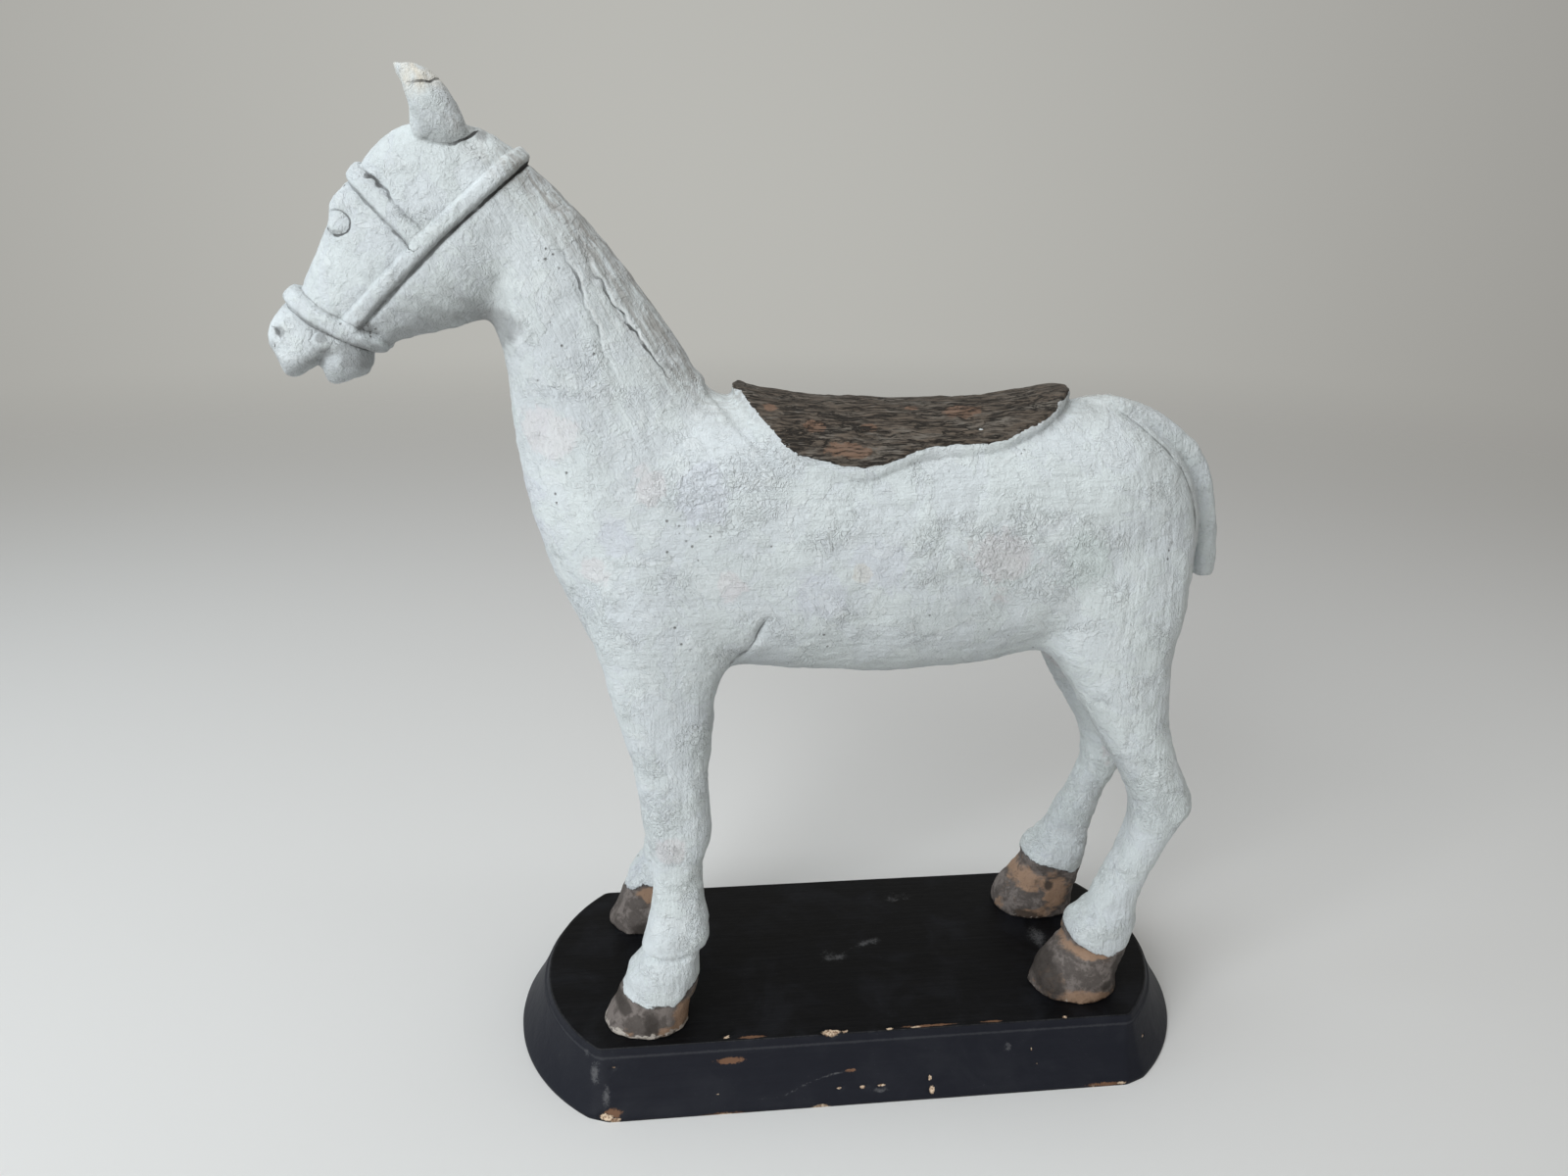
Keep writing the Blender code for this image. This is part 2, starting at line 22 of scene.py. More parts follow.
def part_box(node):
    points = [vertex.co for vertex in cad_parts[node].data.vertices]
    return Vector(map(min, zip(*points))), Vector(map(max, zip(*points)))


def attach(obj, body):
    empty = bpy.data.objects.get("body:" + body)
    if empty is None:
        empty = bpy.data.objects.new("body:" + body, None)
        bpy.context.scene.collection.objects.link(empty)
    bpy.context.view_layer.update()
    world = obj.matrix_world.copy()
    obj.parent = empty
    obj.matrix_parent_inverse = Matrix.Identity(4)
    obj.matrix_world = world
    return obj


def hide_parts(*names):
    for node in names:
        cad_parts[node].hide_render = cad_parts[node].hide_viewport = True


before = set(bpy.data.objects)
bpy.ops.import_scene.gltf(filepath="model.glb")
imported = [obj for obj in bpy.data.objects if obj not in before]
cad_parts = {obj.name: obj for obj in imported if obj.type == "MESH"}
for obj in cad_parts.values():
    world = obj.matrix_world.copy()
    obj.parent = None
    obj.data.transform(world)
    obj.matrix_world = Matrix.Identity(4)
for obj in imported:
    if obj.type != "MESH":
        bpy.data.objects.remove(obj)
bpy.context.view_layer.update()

Array = NDArray[np.float64]
Path = tuple[tuple[float, float], ...]
Table = tuple[tuple[float, ...], ...]
Colour = tuple[float, float, float]
Socket = bpy.types.NodeSocket

log = logging.getLogger("horse")

# Height of the figure that the outlines below are drawn on, in millimetres
FIGURE_DRAWN = 394.5
# Farther away than anything that a seam reaches, in millimetres
FAR_OFF = 99.0
# Millimetres to a metre
MILLI = 1000


class Side(Enum):
    """The side of the horse, by the sign of its Y."""

    NEAR = -1
    FAR = 1


class Extent(Enum):
    """Where a line in side view is cut: all round the head, on the near side alone, or on both sides."""

    HEAD = "head"
    NEAR_ONLY = "near"
    BOTH_SIDES = "both"


def ramp(value: Array, start: float, end: float) -> Array:
    """0 at the start and 1 at the end, straight between them."""
    return np.clip((value - start) / (end - start), 0, 1)


def bell(distance: Array, radius: float) -> Array:
    """1 at no distance, falling like exp(-(distance / radius)^2)."""
    return np.exp(-((distance / radius) ** 2))


def smooth_rows(table: Table, step: float) -> tuple[Array, Array]:
    """Rows closer together than the table's own.

    Cubic pieces between the rows, whose slopes are the harmonic means of the neighbouring secants and 0 at
    a turning point, so that the curve never overshoots the drawn rows.

    Args:
        table: rows of the running value, then the values that follow it.
        step: how far apart the new rows are.

    Returns:
        The running values, and one row of the other values for each.
    """
    rows = np.array(table, float)
    t, values = rows[:, 0], rows[:, 1:]
    gaps = np.diff(t)[:, None]
    secants = np.diff(values, axis=0) / gaps
    slopes = np.vstack([secants[:1], np.zeros_like(secants[1:]), secants[-1:]])
    before, after = secants[:-1], secants[1:]
    agree = before * after > 0
    total = np.where(agree, before + after, 1.0)
    slopes[1:-1] = np.where(agree, 2 * before * after / total, 0.0)
    count = max(2, int(round((t[-1] - t[0]) / step)))
    at = np.unique(np.concatenate([np.linspace(t[0], t[-1], count), t]))
    i = np.clip(np.searchsorted(t, at, side="right") - 1, 0, len(t) - 2)
    h = gaps[i]
    u = ((at - t[i]) / gaps[i, 0])[:, None]
    curve = (
        (2 * u**3 - 3 * u**2 + 1) * values[i]
        + (u**3 - 2 * u**2 + u) * h * slopes[i]
        + (3 * u**2 - 2 * u**3) * values[i + 1]
        + (u**3 - u**2) * h * slopes[i + 1]
    )
    return at, curve


def squared_circle(count: int, exponent: float | Array) -> tuple[Array, Array]:
    """Cosine and sine round a ring, each as sign(c) |c|^(2 / exponent), which squares the ring up a little.

    Args:
        count: points round the ring.
        exponent: 2 for an ellipse, more for a squarer section; a column of them makes one ring a row.

    Returns:
        The two coordinates round the ring.
    """
    angle = np.linspace(0, 2 * np.pi, count, endpoint=False)
    c, s = np.cos(angle), np.sin(angle)
    power = 2 / np.asarray(exponent)
    return np.sign(c) * np.abs(c) ** power, np.sign(s) * np.abs(s) ** power


def outward(points: Array, triangles: NDArray[np.int64]) -> NDArray[np.int64]:
    """The triangles, turned round if the volume that they enclose comes out negative.

    Args:
        points: the corners' places.
        triangles: three corners a row.

    Returns:
        The triangles, facing out.
    """
    a, b, c = (points[triangles[:, k]] for k in range(3))
    volume = np.einsum("ij,ij->", a, np.cross(b, c))
    return triangles if volume > 0 else triangles[:, ::-1]


def lofted(name: str, rings: Array) -> bpy.types.Mesh:
    """A closed skin through rings of points: a strip between each two, and a fan to the middle of each end.

    Args:
        name: the mesh's name.
        rings: (row, place round the ring, coordinate).

    Returns:
        The mesh, with its faces pointing out.
    """
    count, around, _ = rings.shape
    here = np.arange(around)
    there = (here + 1) % around
    low = np.arange(count - 1)[:, None] * around
    a, b = low + here, low + there
    first_half = np.stack([a, b, b + around], -1).reshape(-1, 3)
    second_half = np.stack([a, b + around, a + around], -1).reshape(-1, 3)
    first, last = count * around, count * around + 1
    end = (count - 1) * around
    caps = [
        np.column_stack([there, here, np.full(around, first)]),
        np.column_stack([end + here, end + there, np.full(around, last)]),
    ]
    points = np.vstack([rings.reshape(-1, 3), rings[0].mean(axis=0), rings[-1].mean(axis=0)])
    triangles = outward(points, np.concatenate([first_half, second_half, *caps]))
    mesh = bpy.data.meshes.new(name)
    mesh.from_pydata(points.tolist(), [], triangles.tolist())
    return mesh


@dataclass(frozen=True)
class Lumps:
    """Smooth random unevenness through space, between about -1 and 1, the same on each run.

    Random values stand at the corners of a lattice and are blended between them by 3t^2 - 2t^3. Each octave
    after the first is half as large and half as high.
    """

    seed: int
    lattice: int = 8192

    def at(self, p: Array, size: float | tuple[float, float, float], octaves: int = 1) -> Array:
        """The unevenness at each point.

        Args:
            p: points, one a row.
            size: how far apart the lumps are, the same or one for each axis.
            octaves: how many finer layers are added up.

        Returns:
            One value for each point.
        """
        values = np.random.default_rng(self.seed).uniform(-1, 1, self.lattice)
        total = np.zeros(len(p))
        for octave in range(octaves):
            q = p / np.asarray(size, float) * 2**octave + 37.3 * octave
            low = np.floor(q).astype(np.int64)
            t = q - low
            t = t * t * (3 - 2 * t)
            for corner in product((0, 1), repeat=3):
                x, y, z = (low + corner).T
                key = ((x * 73856093) ^ (y * 19349663) ^ (z * 83492791)) % self.lattice
                share = np.prod(np.where(corner, t, 1 - t), axis=1)
                total += values[key] * share / 2**octave
        return total


def to_line(flat: Array, path: Path) -> tuple[Array, Array, Array]:
    """How far points in side view are from a line.

    Args:
        flat: x and z, one point a row.
        path: x and z of the line's corners.

    Returns:
        The distance, the side of the line as -1 or 1 (1 is to its left), and how far along it the nearest
        place is, from 0 to 1.
    """
    corners = np.array(path, float)
    lengths = np.linalg.norm(np.diff(corners, axis=0), axis=1)
    passed = np.concatenate([[0.0], np.cumsum(lengths)])
    best = np.full(len(flat), np.inf)
    side = np.ones(len(flat))
    run = np.zeros(len(flat))
    for number, length in enumerate(lengths):
        start = corners[number]
        way = (corners[number + 1] - start) / length
        along = np.clip((flat - start) @ way, 0, length)
        away = flat - start - along[:, None] * way
        distance = np.linalg.norm(away, axis=1)
        nearer = distance < best
        best = np.where(nearer, distance, best)
        turn = np.sign(way[0] * away[:, 1] - way[1] * away[:, 0])
        side = np.where(nearer, turn, side)
        run = np.where(nearer, (passed[number] + along) / passed[-1], run)
    return best, np.where(side == 0, 1, side), run


def moved_aside(path: Path, distance: float) -> Path:
    """The line moved sideways.

    Args:
        path: x and z of the line's corners.
        distance: how far, to its left where positive.

    Returns:
        The moved line's corners.
    """
    line = np.array(path, float)
    way = np.gradient(line, axis=0)
    way /= np.linalg.norm(way, axis=1)[:, None]
    return tuple(map(tuple, line + distance * np.column_stack([-way[:, 1], way[:, 0]])))


def on_head(p: Array) -> Array:
    """True for the points that belong to the head."""
    return (p[:, 2] > 280) & (p[:, 0] < -128)


def hand_waver(p: Array) -> Array:
    """How far the carver's hand strays at each point, along x and z."""
    return np.column_stack([Lumps(3).at(p, 4.0, 2), Lumps(4).at(p, 4.0, 2)])


@dataclass(frozen=True)
class Strap:
    """A bridle strap in side view, round both sides of the head: half width, height and middle line."""

    half: float
    proud: float
    path: Path


@dataclass(frozen=True)
class Seam:
    """A line cut or cracked into the surface, in side view.

    half and depth are the groove's; the field after them is half the width of the dark line in it, which is
    painted shadow in the grooves under the headpiece, at the elbow and beside the tail, and soiling in the
    cracks. ink says how dark it is at even distances along the line, and broken how much of the dark is
    left out: -1 for none, 0 for half of it. ragged says how much of the hand's waver it has, lip how high
    its left edge stands, and clear how far from the middle plane a seam of the head begins.
    """

    path: Path
    half: float
    depth: float
    dirt_and_shadow: float
    ink: tuple[float, ...] = (1.0, 1.0)
    broken: float = -0.4
    ragged: float = 0.3
    extent: Extent = Extent.HEAD
    lip: float = 0.0
    clear: float = 0.0

    def reach(self, p: Array, waver: Array) -> tuple[Array, Array, Array]:
        """Where each point is by the seam.

        Args:
            p: points in figure millimetres.
            waver: how far the carver's hand strays there, x and z.

        Returns:
            The distance, far off where the seam isn't cut, the side of the line, and the place along it
            from 0 to 1.
        """
        distance, side, run = to_line(p[:, [0, 2]] + self.ragged * waver, self.path)
        within = {
            Extent.HEAD: on_head(p) & (np.abs(p[:, 1]) >= self.clear),
            Extent.NEAR_ONLY: p[:, 1] < -3,
            Extent.BOTH_SIDES: np.abs(p[:, 1]) > 3,
        }
        return np.where(within[self.extent], distance, FAR_OFF), side, run


# The bridle's straps, the lines cut or cracked into the horse, and all its seams
HEADPIECE = Strap(3.3, 2.1, ((-131, 369), (-168, 336.8), (-202, 304)))
BROWBAND = Strap(3.4, 2.0, ((-207, 368), (-191, 352.5), (-174, 335)))
NOSEBAND = Strap(
    3.4, 3.0, ((-230, 317.5), (-222, 312.5), (-215, 307), (-209.5, 303.8), (-203, 300.8), (-194, 296))
)

EYE_MIDDLE = (-203.0, 340.3)
EYE_REACH = (5.0, 4.6)
EYE_LINE: Path = tuple(
    (EYE_MIDDLE[0] + EYE_REACH[0] * np.cos(a), EYE_MIDDLE[1] + EYE_REACH[1] * np.sin(a))
    for a in np.linspace(0, 2 * np.pi, 17)
)
NOSTRIL_LINE: Path = ((-229.6, 301.6), (-228.6, 300.2))
MOUTH_CORNER: Path = (
    (-217, 298.5), (-215.5, 301), (-212, 302), (-209.5, 300.5), (-209, 297.5), (-211, 294.5), (-214, 293.5)
)
EAR_ROOT: Path = ((-170, 369), (-167, 368), (-163, 367.6), (-159, 368), (-155, 369.6), (-152, 372))
EAR_TIP: Path = ((-171, 388), (-168, 388.4), (-165, 388.2), (-164, 389.2), (-161, 389.6))
ELBOW_LINE: Path = ((-47, 191), (-49, 187), (-51, 181), (-55, 174), (-60, 168))
TAIL_LINE: Path = ((101, 270), (105, 267), (113, 261), (121, 254), (128, 246), (133, 234), (136, 221))
NECK_CRACK: Path = (
    (-125, 336), (-120, 327), (-117, 321), (-116, 317), (-114, 310), (-112, 306), (-110, 302), (-107, 292),
    (-104, 285),
)
LONG_CRACK: Path = (
    (-117, 338), (-110, 322), (-107, 317), (-104, 312), (-100, 307), (-96, 301), (-92, 294), (-84, 285)
)

# The dark along the headpiece's lower edge (first row), the elbow crease and the tail's groove is painted
# shadow; in the cracks it is dirt
SEAMS = (
    Seam(moved_aside(HEADPIECE.path, 3.7), 0.9, 1.3, 0.60, (1, 1, 0.9, 0.75, 0.5, 0.35, 0.3), -0.6, 0.2),
    Seam(moved_aside(HEADPIECE.path, -3.9), 0.7, 0.30, 0.20, (0.1, 0.25, 0.2), 0.0, 0.2),
    Seam(moved_aside(BROWBAND.path, -3.8), 0.6, 0.8, 0.40, (0.5, 0.35, 0.55, 0.45, 0.8), -0.2, 0.35),
    Seam(moved_aside(BROWBAND.path, 3.8), 0.6, 0.7, 0.60, (0.95, 0.9, 0.9, 0.35, 0.2), 0.02, 1.0),
    Seam(moved_aside(NOSEBAND.path, -3.8), 0.55, 0.6, 0.32, (0.3, 0.4, 0.5, 0.6, 0.9), -0.4, 0.25),
    Seam(moved_aside(NOSEBAND.path, 3.8), 0.6, 0.45, 0.26, (0.2, 0.35, 0.25, 0.2), -0.2, 0.2),
    Seam(EYE_LINE, 0.65, 0.9, 0.36, (0.8, 0.65, 0.9, 0.85, 0.8), -0.45, 0.25, clear=8.0),
    Seam(NOSTRIL_LINE, 1.0, 0.5, 0.7, (0.5, 0.4), -1.0, 0.3),
    Seam(MOUTH_CORNER, 0.5, 0.35, 0.28, (0.5, 0.3, 0.45, 0.5), -0.2, 0.2),
    Seam(EAR_ROOT, 0.6, 0.8, 0.45, (0.1, 0.2, 0.35, 0.8, 1, 1), -0.6, 0.35, Extent.NEAR_ONLY),
    Seam(EAR_TIP, 0.45, 0.5, 0.34, (0.5, 0.9, 1, 0.8, 0.4), -0.7, 0.2, Extent.NEAR_ONLY),
    Seam(NECK_CRACK, 0.7, 0.5, 0.42, (0.1, 0.15, 0.4, 0.95, 0.35, 1, 0.6, 0.15, 0.15, 0.1), -0.1, 1.1,
         Extent.NEAR_ONLY, 0.35),
    Seam(LONG_CRACK, 0.75, 0.65, 0.42, (0.1, 0.15, 0.4, 0.9, 0.9, 0.85, 0.8, 0.6), -0.25, 1.0,
         Extent.NEAR_ONLY, 0.5),
    Seam(ELBOW_LINE, 1.6, 1.9, 0.5, (0.7, 0.5), -0.3, 0.3, Extent.BOTH_SIDES),
    Seam(TAIL_LINE, 1.1, 1.0, 0.45, (0.2, 0.5, 0.6, 0.6, 0.5), -0.3, 0.25, Extent.BOTH_SIDES),
)


@dataclass
class Workpiece:
    """A mesh on the carver's bench, in figure millimetres until it is finished."""

    name: str

    def __post_init__(self) -> None:
        """Puts an empty mesh object on the bench."""
        self.obj = bpy.data.objects.new(self.name, bpy.data.meshes.new(self.name))
        bpy.context.scene.collection.objects.link(self.obj)

    def read(self, data: bpy.types.bpy_prop_collection, key: str, width: int) -> Array:
        """One array of a mesh's numbers.

        Args:
            data: the mesh's points, edges or normals.
            key: the name of the number.
            width: how many stand in a row.

        Returns:
            The numbers, a row for each item.
        """
        numbers = np.empty(len(data) * width, np.int32 if key == "vertices" else np.float32)
        data.foreach_get(key, numbers)
        return numbers.reshape(-1, width).astype(np.int64 if key == "vertices" else float)

    def points(self) -> Array:
        """Every point of the mesh."""
        return self.read(self.obj.data.vertices, "co", 3)

    def normals(self) -> Array:
        """The direction straight out of the skin at every point."""
        return self.read(self.obj.data.vertex_normals, "vector", 3)

    def move(self, points: Array) -> None:
        """Puts every point in its new place."""
        self.obj.data.vertices.foreach_set("co", points.astype(np.float32).reshape(-1))
        self.obj.data.update()

    def add(self, meshes: list[bpy.types.Mesh]) -> None:
        """Adds closed forms, which the next voxel skin makes one with the rest.

        Args:
            meshes: the forms, which are used up.
        """
        shape = bmesh.new()
        shape.from_mesh(self.obj.data)
        for mesh in meshes:
            shape.from_mesh(mesh)
            bpy.data.meshes.remove(mesh)
        shape.to_mesh(self.obj.data)
        shape.free()

    def settle(self) -> None:
        """Applies the modifiers."""
        graph = bpy.context.evaluated_depsgraph_get()
        mesh = bpy.data.meshes.new_from_object(self.obj.evaluated_get(graph))
        self.obj.modifiers.clear()
        self.obj.data = mesh

    def one_skin(self, voxel: float) -> None:
        """Makes everything one skin.

        Args:
            voxel: about how far apart its points are.
        """
        remesh = self.obj.modifiers.new("one skin", "REMESH")
        remesh.mode = "VOXEL"
        remesh.voxel_size = voxel
        self.settle()

    def network(self) -> tuple[NDArray[np.int64], Array]:
        """The two points of each edge, and how many neighbours each point has."""
        edges = self.read(self.obj.data.edges, "vertices", 2)
        return edges, np.bincount(edges.reshape(-1), minlength=len(self.obj.data.vertices)).astype(float)

    def neighbour_mean(self, values: Array, edges: NDArray[np.int64], count: Array) -> Array:
        """The mean of each point's neighbours.

        Args:
            values: a row for each point.
            edges: the two points of each edge.
            count: how many neighbours each point has.

        Returns:
            The means, a row for each point.
        """
        a, b = edges.T
        size = len(values)
        columns = [np.bincount(a, v[b], size) + np.bincount(b, v[a], size) for v in values.T]
        return np.column_stack(columns) / count[:, None]

    def rub(self, weights: Array, turns: int) -> None:
        """Rubs the skin smooth: a turn moves each point its weight / 4 of the way to its neighbours' mean.

        Args:
            weights: 0 to 1 for each point.
            turns: how many times.
        """
        points = self.points()
        edges, count = self.network()
        for _ in range(turns):
            points += 0.25 * weights[:, None] * (self.neighbour_mean(points, edges, count) - points)
        self.move(points)

    def thin_out(self, triangles: int) -> None:
        """Removes faces where the skin is plain.

        Args:
            triangles: how many are left.
        """
        thin = self.obj.modifiers.new("fewer faces", "DECIMATE")
        thin.ratio = triangles / (2 * len(self.obj.data.polygons))
        self.settle()

    def cut_level(self, z: float) -> None:
        """Cuts off what is below a height and closes the cut.

        Args:
            z: the height.
        """
        shape = bmesh.new()
        shape.from_mesh(self.obj.data)
        everything = shape.verts[:] + shape.edges[:] + shape.faces[:]
        level = {"plane_co": Vector((0, 0, z)), "plane_no": Vector((0, 0, -1))}
        cut = bmesh.ops.bisect_plane(shape, geom=everything, clear_outer=True, **level)
        rims = [e for e in cut["geom_cut"] if isinstance(e, bmesh.types.BMEdge)]
        bmesh.ops.triangle_fill(shape, use_beauty=True, edges=rims)
        bmesh.ops.recalc_face_normals(shape, faces=shape.faces)
        shape.to_mesh(self.obj.data)
        shape.free()

    def curvature(self, turns: int) -> Array:
        """How far the skin bulges out at each point, in edge lengths.

        Args:
            turns: how many times it is evened out with the neighbours.

        Returns:
            Positive values on ridges and negative ones in hollows.
        """
        points, normals = self.points(), self.normals()
        edges, count = self.network()
        lengths = np.linalg.norm(points[edges[:, 0]] - points[edges[:, 1]], axis=1)
        away = points - self.neighbour_mean(points, edges, count)
        bulge = (away * normals).sum(axis=1)[:, None] / lengths.mean()
        for _ in range(turns):
            bulge = (bulge + self.neighbour_mean(bulge, edges, count)) / 2
        return bulge[:, 0]

    def note(self, name: str, values: Array) -> None:
        """Stores numbers for a finish to read.

        Args:
            name: what the finish asks for.
            values: one number for each point.
        """
        field = self.obj.data.attributes.new(name, "FLOAT", "POINT")
        field.data.foreach_set("value", values.astype(np.float32))

    def wear(self, material: bpy.types.Material) -> None:
        """Gives the whole piece one finish and smooth shading.

        Args:
            material: the finish.
        """
        mesh = self.obj.data
        mesh.materials.clear()
        mesh.materials.append(material)
        mesh.shade_smooth()
        triangles = sum(len(face.vertices) - 2 for face in mesh.polygons)
        log.info("%s: %d points, %d triangles", self.name, len(mesh.vertices), triangles)


class Wire:
    """A shader socket on which arithmetic adds Math nodes."""

    def __init__(self, tree: ShaderTree, socket: Socket) -> None:
        """Wraps an output socket of the tree."""
        self.tree = tree
        self.socket = socket

    def math(self, operation: str, *others: Wire | float) -> Wire:
        """The result of one Math node.

        Args:
            operation: Blender's name of it.
            others: what it works on besides this value.

        Returns:
            The result.
        """
        values = dict(enumerate((self, *others)))
        return Wire(self.tree, self.tree.node("ShaderNodeMath", {"operation": operation}, values).outputs[0])

    def __add__(self, other: Wire | float) -> Wire:
        """This value plus the other."""
        return self.math("ADD", other)

    def __mul__(self, other: Wire | float) -> Wire:
        """This value times the other."""
        return self.math("MULTIPLY", other)

    def __sub__(self, other: Wire | float) -> Wire:
        """This value less the other."""
        return self.math("SUBTRACT", other)

    def __rsub__(self, other: float) -> Wire:
        """The number less this value."""
        return self.math("MULTIPLY_ADD", -1.0, other)

    def __truediv__(self, other: Wire | float) -> Wire:
        """This value divided by the other."""
        return self.math("DIVIDE", other)

    __radd__ = __add__
    __rmul__ = __mul__

    def size(self) -> Wire:
        """The value without its sign."""
        return self.math("ABSOLUTE")

    def rise(self, start: float, end: float) -> Wire:
        """A soft rise, or a fall where the end is lower than the start.

        Args:
            start: the value that gives 0.
            end: the value that gives 1.

        Returns:
            The share between 0 and 1.
        """
        if end < start:
            return 1 - self.rise(end, start)
        sockets = {"Value": self, "From Min": start, "From Max": end}
        settings = {"interpolation_type": "SMOOTHSTEP"}
        return Wire(self.tree, self.tree.node("ShaderNodeMapRange", settings, sockets).outputs["Result"])


@dataclass
class Layer:
    """One finish as it lies on a surface: its colour, its roughness and its height in millimetres."""

    colour: Socket
    roughness: Wire
    height: Wire


class ShaderTree:
    """The nodes of a material or of the surroundings, all added by one method."""

    def __init__(self, owner: bpy.types.Material | bpy.types.World) -> None:
        """Finds the shader and the coordinates: Object ones for a material, directions for a world.

        Args:
            owner: what has the nodes.
        """
        owner.use_nodes = True
        self.owner = owner
        self.nodes = owner.node_tree.nodes
        self.links = owner.node_tree.links
        shader, place = "Principled BSDF", "Object"
        if isinstance(owner, bpy.types.World):
            shader, place = "Background", "Generated"
        self.shader = self.nodes[shader]
        self.place = self.node("ShaderNodeTexCoord", {}, {}).outputs[place]

    def node(self, kind: str, settings: dict, sockets: dict) -> bpy.types.Node:
        """Adds a node.

        Args:
            kind: Blender's name of the node's type.
            settings: the node's own properties, set first.
            sockets: the value or link of each input, by name or number.

        Returns:
            The node.
        """
        made = self.nodes.new(kind)
        for name, value in settings.items():
            setattr(made, name, value)
        for name, value in sockets.items():
            self.feed(made.inputs[name], value)
        return made

    def feed(self, socket: Socket, value: Wire | Socket | float | Colour) -> None:
        """Links a socket to another, or sets its own value.

        Args:
            socket: the input.
            value: what goes into it.
        """
        if isinstance(value, Wire):
            value = value.socket
        if isinstance(value, Socket):
            self.links.new(value, socket)
        elif socket.type == "RGBA":
            socket.default_value = (*value, 1.0)
        else:
            socket.default_value = value

    def field(self, name: str) -> Wire:
        """A number that the mesh holds for each point."""
        settings = {"attribute_name": name, "attribute_type": "GEOMETRY"}
        return Wire(self, self.node("ShaderNodeAttribute", settings, {}).outputs["Fac"])

    def stretched(self, scale: Colour, turn: Colour = (0.0, 0.0, 0.0)) -> Socket:
        """Object coordinates turned, then squeezed along each axis.

        Args:
            scale: how much the pattern is squeezed along x, y and z.
            turn: how the coordinates are turned before that, in radians.

        Returns:
            The coordinates.
        """
        turned = self.node("ShaderNodeMapping", {}, {"Vector": self.place, "Rotation": turn})
        squeezed = self.node("ShaderNodeMapping", {}, {"Vector": turned.outputs[0], "Scale": scale})
        return squeezed.outputs[0]

    def noise(
        self, scale: float, detail: float = 3, rough: float = 0.5, warp: float = 0,
        vector: Socket | None = None,
    ) -> Wire:
        """Blender's noise, about 0.5 on the mean.

        Args:
            scale: lumps to a metre.
            detail: finer layers.
            rough: how strong the finer layers are.
            warp: how far the pattern is pulled about.
            vector: coordinates other than the Object ones.

        Returns:
            The noise's value.
        """
        sockets = {"Vector": vector or self.place, "Scale": scale, "Detail": detail, "Roughness": rough}
        sockets["Distortion"] = warp
        return Wire(self, self.node("ShaderNodeTexNoise", {}, sockets).outputs[0])

    def cells(self, scale: float) -> tuple[Wire, Wire]:
        """Random cells.

        Args:
            scale: cells to a metre.

        Returns:
            The distance from the middle of the cell, and a random number for the cell.
        """
        made = self.node("ShaderNodeTexVoronoi", {}, {"Vector": self.place, "Scale": scale})
        parts = self.node("ShaderNodeSeparateColor", {}, {"Color": made.outputs["Color"]})
        return Wire(self, made.outputs["Distance"]), Wire(self, parts.outputs[0])

    def mix(self, share: Wire | float, first: Socket | Colour, second: Socket | Colour) -> Socket:
        """A blend of two colours.

        Args:
            share: 0 for the first colour, 1 for the second.
            first: the one.
            second: the other.

        Returns:
            The blend.
        """
        sockets = {0: share, 6: first, 7: second}
        return self.node("ShaderNodeMix", {"data_type": "RGBA"}, sockets).outputs[2]

    def over(self, share: Wire, lower: Layer, upper: Layer) -> Layer:
        """One layer over another.

        Args:
            share: 1 where the upper one covers.
            lower: the one below.
            upper: the one above.

        Returns:
            What shows.
        """
        rest = 1 - share
        return Layer(
            self.mix(share, lower.colour, upper.colour),
            lower.roughness * rest + upper.roughness * share,
            lower.height * rest + upper.height * share,
        )

    def finish(self, layer: Layer, specular: float) -> bpy.types.Material:
        """Feeds a layer to the shader.

        Args:
            layer: what shows in the end.
            specular: the shader's own specular level, the same all over.

        Returns:
            The material.
        """
        sockets = {"Height": layer.height, "Distance": 0.001, "Strength": 1.0}
        bump = self.node("ShaderNodeBump", {}, sockets)
        self.feed(self.shader.inputs["Base Color"], layer.colour)
        self.feed(self.shader.inputs["Roughness"], layer.roughness)
        self.feed(self.shader.inputs["Normal"], bump.outputs[0])
        self.feed(self.shader.inputs["Specular IOR Level"], specular)
        return self.owner


